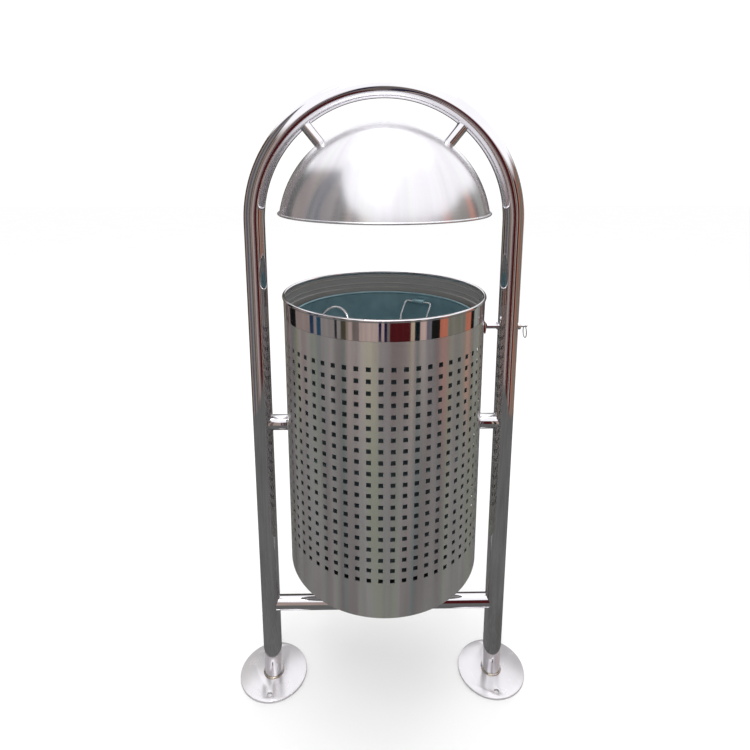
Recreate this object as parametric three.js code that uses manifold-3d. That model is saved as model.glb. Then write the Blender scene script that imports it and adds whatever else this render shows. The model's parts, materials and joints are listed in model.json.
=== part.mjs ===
// Park litter bin: a perforated round barrel that tips between the legs of a tube hoop,
// with a lift-out liner, a rain dome and a hand latch. Millimetres, +Z up. The origin is on
// the ground, midway between the two base plates; the front is the -Y side.

import * as THREE from 'three';
import { mergeVertices } from 'three/addons/utils/BufferGeometryUtils.js';
import Module from 'manifold-3d';

const wasm = await Module();
wasm.setup();

// ---------------------------------------------------------------- driving dimensions
// Hoop: one bent tube, its two base plates and the rail between its legs.
const overallHeight = 1230;
const legSideGap = 31;
const tubeD = 38;
const tubeWall = 1.5;
const plateD = 140;
const plateT = 5;
const anchorInset = 16;
const anchorHoleD = 10;
const anchorCount = 2;
const footWeld = 2.5;
const railD = 30;
const railWall = 1.5;
const railZ = 176;

// Barrel: satin shell, polished collar with a rolled rim, and a raised floor.
const barrelD = 370;
const barrelH = 535;
const barrelBottomZ = 313;
const sheetT = 1.2;
const collarBandH = 33;
const collarTuckH = 14;
const rimBeadD = 6;
const swageDepth = 0.8;
const swageHalfH = 1.5;
const swageDrops = [13.5, 27];
const floorRecess = 12;
const floorT = 1.5;
const floorLipH = 10;
const drainHoleD = 12;
const drainCircleD = 220;
const drainCount = 4;
const seamStripW = 24;

// Barrel pivots, one each side.
const pivotRise = 272;
const pivotBoltD = 10;
const boltHeadAcross = 16;
const boltHeadH = 4;
const boltReach = 18;
const washerD = 20;
const washerT = 1.5;
const bushWall = 1.7;
const bushFlangeD = 24;
const bushFlangeT = 1.5;
const padT = 3;
const padH = 60;
const plugT = 10;

// Rain dome and its two hangers.
const domeOverhang = 2.5;
const domeH = 160;
const domeCrownGap = 37;
const domeSheetT = 1.2;
const domeBeadD = 4;
const hangerD = 22;
const hangerWall = 1.5;
const hangerAngle = 39;

// Liner and its two wire bails.
const linerRimGap = 12;
const linerRimDrop = 42;
const linerBeadD = 5;
const linerSheetT = 0.8;
const bailHingeInset = 16;
const bailHingeDrop = 16;
const bailWireD = 4;
const bailWidth = 58.5;
const bailReach = 61;
const bailCorner = 6;
const strapW = 26;
const strapWall = 2.2;
const frontBail = { bearing: 233.1, lean: 23.2 };
const rearBail = { bearing: 60.4, lean: 136.8 };

// Latch: a hand-drawn bolt that slides through the right leg into a keeper on the barrel.
const latchDrop = 69;
const latchBoltD = 10;
const latchTailD = 5;
const latchTipGap = 1;
const latchShoulderRun = 10;
const sleeveWall = 1.7;
const sleeveStandOut = 2.5;
const endCapT = 2;
const tailStandOut = 13;
const ringD = 25;
const ringWireD = 2.2;
const ringHoleD = 3.4;
const ringHoleInset = 4;
const keeperReach = 7.5;
const keeperW = 16;
const keeperRise = 12;
const hornDrop = 14;

// Clearances: between welded or seated neighbours, and between a shaft and its hole.
const seatGap = 0.3;
const runGap = 0.3;
const tipChamfer = 1;

// Facets of round pieces: large shells, tubes and small turned pieces.
const shellSides = 40;
const tubeSides = 16;
const smallSides = 16;
const wireSides = 6;
const bendSteps = 20;
const domeSteps = 7;
const beadSteps = 6;
const bailSteps = 48;

// ---------------------------------------------------------------- dependent sizes
const legSpacing = barrelD + tubeD + 2 * legSideGap;
const legX = legSpacing / 2;
const legR = tubeD / 2;
const archZ = overallHeight - legR - legX;
const anchorCircleD = plateD - 2 * anchorInset;
const barrelR = barrelD / 2;
const barrelInnerR = barrelR - sheetT;
const beadR = rimBeadD / 2;
const barrelTopZ = barrelBottomZ + barrelH;
const collarBandZ = barrelH - beadR - collarBandH;
const pivotZ = barrelBottomZ + pivotRise;
const bushD = pivotBoltD + 2 * (runGap + bushWall);
const latchZ = barrelTopZ - latchDrop;
const sleeveD = latchBoltD + 2 * (runGap + sleeveWall);
const floorTopZ = floorRecess + floorT;
const linerBaseZ = barrelBottomZ + floorTopZ + seatGap;
const linerRimD = barrelD - 2 * linerRimGap;
const linerRimZ = barrelTopZ - linerRimDrop;
const linerH = linerRimZ - linerBaseZ;
const linerR = linerRimD / 2 - linerBeadD / 2 + linerSheetT / 2;
const linerInnerR = linerR - linerSheetT;
const bailHingeR = linerRimD / 2 - bailHingeInset;
const facetFactor = Math.cos(Math.PI / shellSides);
const domeRimR = barrelR + domeOverhang;
const domeRimZ = overallHeight - tubeD - domeCrownGap - domeH;
const domeR = (domeRimR ** 2 + domeH ** 2) / (2 * domeH);
const domeCentreZ = domeRimZ + domeH - domeR;

// ---------------------------------------------------------------- finishes
const finishes = {
  mirror: { color: 0xd4d3d6, roughness: 0.08, metalness: 1 },
  satin: { color: 0x9a9795, roughness: 0.35, metalness: 1 },
  spun: { color: 0xc4c3c8, roughness: 0.28, metalness: 1 },
  galvanised: { color: 0x74858a, roughness: 0.45, metalness: 0.9 },
  wire: { color: 0xc9ccd0, roughness: 0.25, metalness: 1 },
  weld: { color: 0x8f8d8f, roughness: 0.4, metalness: 1 },
  nylon: { color: 0xe6e4dc, roughness: 0.6, metalness: 0 },
};

// ---------------------------------------------------------------- solid helpers
// Merges shared corners, drops empty triangles and turns the faces outwards.
function weld(geometry) {
  const bare = new THREE.BufferGeometry();
  bare.setAttribute('position', geometry.getAttribute('position').clone());
  if (geometry.index) bare.setIndex(geometry.index.clone());
  const merged = mergeVertices(bare, 1e-4);
  const corners = merged.getAttribute('position');
  const triangles = [];
  for (let i = 0; i < merged.index.count; i += 3) {
    const [a, b, c] = [0, 1, 2].map((k) => merged.index.getX(i + k));
    if (a !== b && b !== c && c !== a) triangles.push([a, b, c]);
  }
  const at = (i) => new THREE.Vector3().fromBufferAttribute(corners, i);
  const volume = triangles.reduce((sum, [a, b, c]) => sum + at(a).dot(at(b).cross(at(c))), 0);
  const facing = volume < 0 ? triangles.map(([a, b, c]) => [a, c, b]) : triangles;
  merged.setIndex(facing.flat());
  return merged;
}

function toSolid(geometry) {
  const welded = weld(geometry);
  return new wasm.Manifold(new wasm.Mesh({
    numProp: 3,
    vertProperties: new Float32Array(welded.getAttribute('position').array),
    triVerts: new Uint32Array(welded.index.array),
  }));
}

function toGeometry(solid) {
  const mesh = solid.getMesh();
  const geometry = new THREE.BufferGeometry();
  geometry.setAttribute('position', new THREE.BufferAttribute(mesh.vertProperties, 3));
  geometry.setIndex(new THREE.BufferAttribute(mesh.triVerts, 1));
  geometry.computeVertexNormals();
  return geometry;
}

function cut(geometry, ...tools) {
  return toGeometry(tools.reduce((solid, tool) => solid.subtract(toSolid(tool)), toSolid(geometry)));
}

// ---------------------------------------------------------------- shape helpers
// Turns a closed outline of [radius, height] points about Z.
function turned(outline, sides) {
  const points = outline.map(([r, z]) => new THREE.Vector2(r, z));
  return weld(new THREE.LatheGeometry(points, sides).rotateX(Math.PI / 2));
}

function rod(radius, from, to, sides = smallSides) {
  const cylinder = new THREE.CylinderGeometry(radius, radius, to - from, sides);
  return cylinder.rotateX(Math.PI / 2).translate(0, 0, (from + to) / 2);
}

function pipe(outerR, innerR, from, to, sides = smallSides) {
  return turned([[innerR, from], [outerR, from], [outerR, to], [innerR, to], [innerR, from]], sides);
}

// Lays a shape that runs along Z so that it runs along X or Y instead.
const alongX = (geometry) => geometry.rotateY(Math.PI / 2);
const alongY = (geometry) => geometry.rotateX(-Math.PI / 2);

// Points of a circular arc in an outline, angles in degrees from +radius towards +height.
function arcPoints([r, z], radius, from, to, steps) {
  return Array.from({ length: steps + 1 }, (_, i) => {
    const angle = THREE.MathUtils.degToRad(from + ((to - from) * i) / steps);
    return [r + radius * Math.cos(angle), z + radius * Math.sin(angle)];
  });
}

// A path of straight runs in the YZ plane, each inner corner rounded to its own radius.
function roundedPath(corners, radii) {
  const path = new THREE.CurvePath();
  const kappa = 0.5523;
  let from = corners[0];
  radii.forEach((radius, i) => {
    const corner = corners[i + 1];
    const back = corners[i].clone().sub(corner).setLength(radius);
    const ahead = corners[i + 2].clone().sub(corner).setLength(radius);
    const start = corner.clone().add(back);
    const end = corner.clone().add(ahead);
    const startPull = corner.clone().addScaledVector(back, 1 - kappa);
    const endPull = corner.clone().addScaledVector(ahead, 1 - kappa);
    if (from.distanceTo(start) > 1e-6) path.add(new THREE.LineCurve3(from, start));
    path.add(new THREE.CubicBezierCurve3(start, startPull, endPull, end));
    from = end;
  });
  path.add(new THREE.LineCurve3(from, corners.at(-1)));
  return path;
}

function circle(radius) {
  return new THREE.Shape().absarc(0, 0, radius, 0, 2 * Math.PI);
}

function addPart(group, name, geometry, finish, rotationZ = 0) {
  const mesh = new THREE.Mesh(geometry, new THREE.MeshStandardMaterial(finishes[finish]));
  mesh.name = name;
  mesh.rotation.z = rotationZ;
  group.add(mesh);
  return mesh;
}

const sides = [['right', 0], ['left', Math.PI]];

// ---------------------------------------------------------------- hoop
// Centreline of the hoop: up the left leg, round the half circle and down the right leg.
class HoopCurve extends THREE.Curve {
  bendAngle(t) {
    const step = t * (bendSteps + 2) - 1;
    return Math.PI * (1 - THREE.MathUtils.clamp(step / bendSteps, 0, 1));
  }

  getPoint(t) {
    const angle = this.bendAngle(t);
    const straight = Math.max(1 - t * (bendSteps + 2), t * (bendSteps + 2) - bendSteps - 1, 0);
    const z = archZ + legX * Math.sin(angle) - straight * (archZ - plateT);
    return new THREE.Vector3(legX * Math.cos(angle), 0, z);
  }

  getTangentAt(t) {
    const angle = this.bendAngle(t);
    return new THREE.Vector3(Math.sin(angle), 0, -Math.cos(angle));
  }

  getPointAt(t) {
    return this.getPoint(t);
  }
}

function hoopTube() {
  const section = circle(legR);
  section.holes.push(new THREE.Path().absarc(0, 0, legR - tubeWall, 0, 2 * Math.PI, true));
  const hoop = new THREE.ExtrudeGeometry(section, {
    steps: bendSteps + 2,
    curveSegments: tubeSides / 2,
    extrudePath: new HoopCurve(),
  });
  const sleeveBore = alongX(rod(sleeveD / 2 + seatGap, legX - tubeD, legX + tubeD));
  return cut(hoop, sleeveBore.translate(0, 0, latchZ));
}

function basePlate() {
  const outline = circle(plateD / 2);
  for (let i = 0; i < anchorCount; i += 1) {
    const angle = (2 * Math.PI * i) / anchorCount;
    const [x, y] = [Math.sin(angle), Math.cos(angle)].map((v) => (v * anchorCircleD) / 2);
    outline.holes.push(new THREE.Path().absarc(x, y, anchorHoleD / 2, 0, 2 * Math.PI, true));
  }
  return new THREE.ExtrudeGeometry(outline, {
    depth: plateT,
    bevelEnabled: false,
    curveSegments: shellSides / 4,
  });
}

function footWeldRing() {
  const inner = legR + seatGap;
  return turned([
    [inner, plateT],
    [inner + footWeld, plateT],
    [inner + footWeld / 2, plateT + footWeld],
    [inner, plateT + footWeld],
    [inner, plateT],
  ], smallSides);
}

function legSolid(x, gap) {
  return rod(legR + gap, plateT, archZ, tubeSides).translate(x, 0, 0);
}

function rail() {
  const bar = alongX(pipe(railD / 2, railD / 2 - railWall, -legX, legX)).translate(0, 0, railZ);
  return cut(bar, legSolid(-legX, seatGap), legSolid(legX, seatGap));
}

function buildHoop() {
  const hoop = new THREE.Group();
  addPart(hoop, 'arch_tube', hoopTube(), 'mirror');
  addPart(hoop, 'crossbar', rail(), 'mirror');
  sides.forEach(([side, turn]) => {
    const x = side === 'right' ? legX : -legX;
    addPart(hoop, `base_plate_${side}`, basePlate(), 'mirror', turn).position.x = x;
    addPart(hoop, `foot_weld_${side}`, footWeldRing(), 'weld', turn).position.x = x;
  });
  return hoop;
}

// ---------------------------------------------------------------- rain dome
// Arc of the dome's section from its crown, on the axis, down to its rim.
function domeArc(radius) {
  const rimAngle = THREE.MathUtils.radToDeg(Math.asin((domeRimZ - domeCentreZ) / domeR));
  const [, ...arc] = arcPoints([0, domeCentreZ], radius, 90, rimAngle, domeSteps);
  return [[0, domeCentreZ + radius], ...arc];
}

function domeShell() {
  const beadCentre = [domeRimR + domeBeadD / 2 - domeSheetT / 2, domeRimZ];
  const bead = arcPoints(beadCentre, domeBeadD / 2, 120, -180, beadSteps);
  const inside = domeArc(domeR - domeSheetT).reverse();
  return turned([...domeArc(domeR).slice(0, -1), ...bead, ...inside], shellSides);
}

// Tube from the hoop to the dome on a radius of the hoop's bend, its ends shaped to fit both.
function domeHanger() {
  const tube = pipe(hangerD / 2, hangerD / 2 - hangerWall, domeR - hangerD, legX);
  tube.rotateY(THREE.MathUtils.degToRad(hangerAngle)).translate(0, 0, archZ);
  const dome = turned([...domeArc(domeR + seatGap), [0, domeRimZ]], shellSides);
  const bend = new THREE.TorusGeometry(legX, legR + seatGap, tubeSides, 2 * bendSteps);
  bend.rotateX(Math.PI / 2).translate(0, 0, archZ);
  return cut(tube, dome, bend);
}

function buildDome() {
  const dome = new THREE.Group();
  addPart(dome, 'rain_dome', domeShell(), 'spun');
  sides.forEach(([side, turn]) => addPart(dome, `dome_hanger_${side}`, domeHanger(), 'mirror', turn));
  return dome;
}

// ---------------------------------------------------------------- barrel, from its bottom edge up
const pivotBore = () => alongX(rod(bushD / 2 + runGap, -barrelR - 1, barrelR + 1));

function barrelShell() {
  const shell = pipe(barrelR, barrelInnerR, 0, collarBandZ - seatGap, shellSides);
  return cut(shell, pivotBore().translate(0, 0, pivotZ - barrelBottomZ));
}

// Collar: outer band flush with the shell, rolled rim, two swages inside and a tucked flange.
function barrelCollar() {
  const tuckOuterR = barrelInnerR - seatGap;
  const tuckInnerR = tuckOuterR - sheetT;
  const beadCentre = [barrelR - sheetT / 2, barrelH - beadR];
  const swages = swageDrops.flatMap((drop) => {
    const z = barrelH - drop;
    return [
      [barrelInnerR, z + swageHalfH],
      [barrelInnerR - swageDepth, z],
      [barrelInnerR, z - swageHalfH],
    ];
  });
  return turned([
    [barrelR, collarBandZ],
    ...arcPoints(beadCentre, beadR, -70, 250, beadSteps),
    ...swages,
    [barrelInnerR, collarBandZ + sheetT],
    [tuckInnerR, collarBandZ],
    [tuckInnerR, collarBandZ - collarTuckH],
    [tuckOuterR, collarBandZ - collarTuckH],
    [tuckOuterR, collarBandZ],
    [barrelR, collarBandZ],
  ], shellSides);
}

// Floor pan with a turned-down lip and drain holes.
function barrelFloor() {
  const outer = barrelInnerR - seatGap;
  const lipZ = floorTopZ - floorLipH;
  const pan = turned([
    [0, floorTopZ],
    [outer, floorTopZ],
    [outer, lipZ],
    [outer - floorT, lipZ],
    [outer - floorT, floorRecess],
    [0, floorRecess],
  ], shellSides);
  const drains = Array.from({ length: drainCount }, (_, i) => {
    const angle = (2 * Math.PI * (i + 0.5)) / drainCount;
    const drain = rod(drainHoleD / 2, 0, floorTopZ + 1);
    return drain.translate((Math.cos(angle) * drainCircleD) / 2, (Math.sin(angle) * drainCircleD) / 2, 0);
  });
  return cut(pan, ...drains);
}

// Flat strip behind the rear joint of the rolled shell.
function seamStrip() {
  const back = Math.sqrt((barrelInnerR * facetFactor) ** 2 - (seamStripW / 2) ** 2) - seatGap;
  const bottom = floorTopZ + seatGap;
  const height = collarBandZ - collarTuckH - seatGap - bottom;
  const strip = new THREE.BoxGeometry(seamStripW, sheetT, height);
  return strip.translate(0, back - sheetT / 2, bottom + height / 2);
}

// Curved doubler behind the wall at a pivot: two facets wide, like the wall it backs.
function pivotPad() {
  const outer = barrelInnerR - seatGap;
  const step = (2 * Math.PI) / shellSides;
  const corner = (radius, k) => new THREE.Vector2(radius * Math.cos(k * step), radius * Math.sin(k * step));
  const outline = [-1, 0, 1].map((k) => corner(outer, k));
  const inline = [1, 0, -1].map((k) => corner(outer - padT, k));
  const pad = new THREE.ExtrudeGeometry(new THREE.Shape([...outline, ...inline]), {
    depth: padH,
    bevelEnabled: false,
  });
  return cut(pad.translate(0, 0, -padH / 2), alongX(rod(bushD / 2 + runGap, 0, barrelR)));
}

// Along X at the pivot, from inside out: bolt head, washer, pad, wall, bush flange, stub.
const padInnerX = barrelInnerR - seatGap - padT;
const padEdgeDrop = (washerD / 2) * Math.tan(Math.PI / shellSides);
const washerOuterX = padInnerX - padEdgeDrop - seatGap;
const headOuterX = washerOuterX - washerT;
const bushFlangeX = barrelR + seatGap;
const stubEndX = bushFlangeX + bushFlangeT + runGap;
const boreR = pivotBoltD / 2 + runGap;

function pivotBush() {
  const inner = washerOuterX + runGap;
  const outer = bushFlangeX + bushFlangeT;
  return alongX(turned([
    [boreR, inner],
    [bushD / 2, inner],
    [bushD / 2, bushFlangeX],
    [bushFlangeD / 2, bushFlangeX],
    [bushFlangeD / 2, outer],
    [boreR, outer],
    [boreR, inner],
  ], smallSides));
}

function pivotBolt() {
  const head = alongX(rod(boltHeadAcross / 2 / Math.cos(Math.PI / 6), headOuterX - boltHeadH, headOuterX, 6));
  const shank = alongX(rod(pivotBoltD / 2, headOuterX - boltHeadH / 2, stubEndX + boltReach));
  return toGeometry(toSolid(head).add(toSolid(shank)));
}

function pivotStub() {
  const tube = alongX(pipe(railD / 2, railD / 2 - railWall, stubEndX, legX));
  return cut(tube, legSolid(legX, seatGap).translate(0, 0, -pivotZ));
}

function addPivots(frameSide, barrelSide) {
  sides.forEach(([side, turn]) => {
    const plug = alongX(pipe(railD / 2 - railWall - seatGap, boreR, stubEndX, stubEndX + plugT));
    const washer = alongX(pipe(washerD / 2, boreR, headOuterX, washerOuterX));
    addPart(frameSide, `pivot_stub_${side}`, pivotStub(), 'mirror', turn);
    addPart(frameSide, `pivot_plug_${side}`, plug, 'weld', turn);
    addPart(frameSide, `pivot_bolt_${side}`, pivotBolt(), 'wire', turn);
    addPart(frameSide, `pivot_washer_${side}`, washer, 'wire', turn);
    addPart(barrelSide, `pivot_bush_${side}`, pivotBush(), 'nylon', turn);
    addPart(barrelSide, `pivot_pad_${side}`, pivotPad(), 'satin', turn);
  });
}

// Keeper on the barrel's right side: a bored block with a horn below, centred on the bolt.
function latchKeeper() {
  const inner = barrelR + seatGap;
  const outer = barrelR + keeperReach;
  const outline = new THREE.Shape();
  outline.moveTo(inner, keeperRise);
  outline.quadraticCurveTo(outer, keeperRise, outer, keeperRise / 3);
  outline.lineTo(outer, -keeperRise / 2);
  outline.lineTo(outer - keeperReach / 3, -hornDrop);
  outline.lineTo(inner + keeperReach / 4, -keeperRise * 0.7);
  outline.lineTo(inner, -keeperRise * 0.6);
  const block = new THREE.ExtrudeGeometry(outline, {
    depth: keeperW,
    bevelEnabled: false,
    curveSegments: 5,
  });
  block.rotateX(Math.PI / 2).translate(0, keeperW / 2, 0);
  return cut(block, alongX(rod(latchBoltD / 2 + runGap, barrelR - 1, outer + 1)));
}

// ---------------------------------------------------------------- liner, from its base up
function linerShell() {
  const bead = linerBeadD / 2;
  const beadCentre = [linerR - linerSheetT / 2, linerH - bead];
  return turned([
    [0, 0],
    [linerR, 0],
    ...arcPoints(beadCentre, bead, -75, 255, beadSteps),
    [linerInnerR, linerSheetT],
    [0, linerSheetT],
  ], shellSides);
}

// A bail and its strap are drawn with +X away from the liner's axis and the hinge along Y.
function bailWire() {
  const half = bailWidth / 2;
  const corners = [[0, 0], [-half, 0], [-half, bailReach], [half, bailReach], [half, 0], [0, 0]];
  const path = roundedPath(
    corners.map(([y, z]) => new THREE.Vector3(0, y, z)),
    [bailCorner, half, half, bailCorner],
  );
  return new THREE.TubeGeometry(path, bailSteps, bailWireD / 2, wireSides, true);
}

// The strap holds a bail's hinge side against the liner's wall.
function bailStrap() {
  const half = strapW / 2;
  const boreR = bailWireD / 2 + runGap;
  const noseR = boreR + strapWall;
  const wall = Math.sqrt((linerInnerR * facetFactor) ** 2 - half ** 2) - seatGap - bailHingeR;
  const block = new THREE.BoxGeometry(wall, strapW, 2 * noseR).translate(wall / 2, 0, 0);
  const nose = alongY(rod(noseR, -half, half));
  const strap = toGeometry(toSolid(block).add(toSolid(nose)));
  return cut(strap, alongY(rod(boreR, -strapW, strapW)));
}

function addBail(liner, name, spec) {
  const bearing = THREE.MathUtils.degToRad(spec.bearing);
  const hinge = new THREE.Group();
  hinge.rotation.z = bearing;
  hinge.position.set(bailHingeR * Math.cos(bearing), bailHingeR * Math.sin(bearing), linerH - bailHingeDrop);
  const wire = addPart(hinge, `${name}_bail`, bailWire(), 'wire');
  wire.rotation.y = -THREE.MathUtils.degToRad(spec.lean);
  addPart(hinge, `${name}_bail_strap`, bailStrap(), 'galvanised');
  liner.add(hinge);
}

function buildLiner() {
  const liner = new THREE.Group();
  addPart(liner, 'liner', linerShell(), 'galvanised');
  addBail(liner, 'front', frontBail);
  addBail(liner, 'rear', rearBail);
  return liner;
}

function buildBarrel() {
  const barrel = new THREE.Group();
  addPart(barrel, 'barrel_shell', barrelShell(), 'satin');
  addPart(barrel, 'barrel_collar', barrelCollar(), 'mirror');
  addPart(barrel, 'barrel_floor', barrelFloor(), 'satin');
  addPart(barrel, 'rear_seam_strip', seamStrip(), 'satin');
  addPart(barrel, 'latch_keeper', latchKeeper(), 'mirror').position.z = latchZ - barrelBottomZ;
  const liner = buildLiner();
  liner.position.z = linerBaseZ - barrelBottomZ;
  barrel.add(liner);
  return barrel;
}

// ---------------------------------------------------------------- latch, along X at its height
const sleeveInX = legX - legR - sleeveStandOut;
const sleeveOutX = legX + legR + sleeveStandOut;
const tailEndX = sleeveOutX + endCapT + tailStandOut;
const ringX = tailEndX - ringHoleInset;
const ringR = (ringD - ringWireD) / 2;

function latchBolt() {
  const tip = barrelR + keeperReach + latchTipGap;
  const shoulder = sleeveOutX - latchShoulderRun;
  const body = alongX(turned([
    [0, tip],
    [latchBoltD / 2 - tipChamfer, tip],
    [latchBoltD / 2, tip + tipChamfer],
    [latchBoltD / 2, shoulder],
    [latchTailD / 2, shoulder],
    [latchTailD / 2, tailEndX - tipChamfer],
    [latchTailD / 2 - tipChamfer, tailEndX],
    [0, tailEndX],
  ], smallSides));
  return cut(body, alongY(rod(ringHoleD / 2, -latchTailD, latchTailD)).translate(ringX, 0, 0));
}

function buildLatch() {
  const latch = new THREE.Group();
  const sleeve = alongX(pipe(sleeveD / 2, latchBoltD / 2 + runGap, sleeveInX, sleeveOutX));
  const cap = alongX(pipe(sleeveD / 2, latchTailD / 2 + runGap, sleeveOutX, sleeveOutX + endCapT));
  const ring = new THREE.TorusGeometry(ringR, ringWireD / 2, wireSides, smallSides);
  addPart(latch, 'latch_sleeve', sleeve, 'mirror');
  addPart(latch, 'latch_end_cap', cap, 'mirror');
  addPart(latch, 'latch_bolt', latchBolt(), 'mirror');
  addPart(latch, 'pull_ring', ring.rotateY(Math.PI / 2), 'wire').position.set(ringX, 0, -ringR);
  return latch;
}

// ---------------------------------------------------------------- whole bin
function buildBin() {
  const bin = new THREE.Group();
  const barrel = buildBarrel();
  const frameSide = new THREE.Group();
  const barrelSide = new THREE.Group();
  const latch = buildLatch();
  addPivots(frameSide, barrelSide);
  barrel.position.z = barrelBottomZ;
  frameSide.position.z = pivotZ;
  barrelSide.position.z = pivotZ;
  latch.position.z = latchZ;
  bin.add(buildHoop(), buildDome(), barrel, frameSide, barrelSide, latch);
  return bin;
}

export default buildBin();
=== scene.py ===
"""Looks of a tilting litter bin in stainless steel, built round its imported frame.

All sizes are metres in the bin's own axes: +Z up from the ground, the front on the -Y side
and the latch on the +X leg. Each class below is one sub-assembly. It holds its sizes, reads
its places from the frame, models its pieces and gives them their finishes.
"""

import json
import logging
import math
from contextlib import contextmanager
from dataclasses import dataclass, field
from enum import Enum
from typing import Callable, Iterator, Sequence

import bmesh
import bpy
from mathutils import Matrix, Vector


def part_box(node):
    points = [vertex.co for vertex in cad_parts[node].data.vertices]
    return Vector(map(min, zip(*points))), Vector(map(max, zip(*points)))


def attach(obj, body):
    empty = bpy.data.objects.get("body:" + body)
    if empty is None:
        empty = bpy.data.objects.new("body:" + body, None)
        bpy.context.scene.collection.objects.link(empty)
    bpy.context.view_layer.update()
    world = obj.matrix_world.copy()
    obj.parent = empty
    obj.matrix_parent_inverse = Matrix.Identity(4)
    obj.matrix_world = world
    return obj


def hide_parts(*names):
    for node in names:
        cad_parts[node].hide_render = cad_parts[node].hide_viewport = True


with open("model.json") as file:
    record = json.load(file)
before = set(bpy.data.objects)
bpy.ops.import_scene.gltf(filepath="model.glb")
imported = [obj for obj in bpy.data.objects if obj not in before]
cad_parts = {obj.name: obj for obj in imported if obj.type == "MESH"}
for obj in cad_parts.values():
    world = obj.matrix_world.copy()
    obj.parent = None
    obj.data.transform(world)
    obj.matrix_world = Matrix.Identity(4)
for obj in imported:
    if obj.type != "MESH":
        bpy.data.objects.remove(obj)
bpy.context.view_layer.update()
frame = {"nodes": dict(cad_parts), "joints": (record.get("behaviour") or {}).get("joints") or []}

log = logging.getLogger("litter_bin")

Outline = list[tuple[float, float]]
X_AXIS = Vector((1, 0, 0))
Y_AXIS = Vector((0, 1, 0))
Z_AXIS = Vector((0, 0, 1))


class Body(Enum):
    """The frame's moving bodies."""

    HOOP = "hoop_frame"
    BARREL = "barrel"
    LINER = "liner"
    FRONT_BAIL = "front_bail"
    REAR_BAIL = "rear_bail"
    LATCH = "latch"
    RING = "pull_ring"


class Slot(Enum):
    """The record's material slots."""

    POLISHED = "polished_steel"
    SATIN = "satin_steel"
    SPUN = "spun_steel"
    GALVANISED = "galvanised_steel"
    WIRE = "bright_wire"
    WELD = "weld_steel"
    NYLON = "nylon"


class Side(Enum):
    """The two sides of the bin, as the sign of X."""

    LEFT = -1
    RIGHT = 1

    @property
    def word(self) -> str:
        """The side's name in node names."""
        return self.name.lower()


# ------------------------------------------------------------------ bench work


def select_only(obj: bpy.types.Object) -> None:
    """Leaves one object selected and active.

    Args:
        obj: The object to work on.
    """
    if bpy.context.object and bpy.context.object.mode != "OBJECT":
        bpy.ops.object.mode_set(mode="OBJECT")
    bpy.ops.object.select_all(action="DESELECT")
    obj.select_set(True)
    bpy.context.view_layer.objects.active = obj


def arc(centre: tuple[float, float], radius: float, start: float, end: float, steps: int) -> Outline:
    """Points of an arc in an outline.

    Args:
        centre: The arc's centre as (radius, height).
        radius: The arc's own radius.
        start: First angle in degrees, from outward towards up.
        end: Last angle in degrees.
        steps: Number of straight steps.

    Returns:
        The points in order, both ends included.
    """
    angles = [math.radians(start + (end - start) * i / steps) for i in range(steps + 1)]
    return [(centre[0] + radius * math.cos(a), centre[1] + radius * math.sin(a)) for a in angles]


def beside(axis: Vector) -> Vector:
    """A unit vector square to an axis, along X where that is possible."""
    return Z_AXIS.copy() if abs(axis.x) > 0.9 else X_AXIS.copy()


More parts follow.
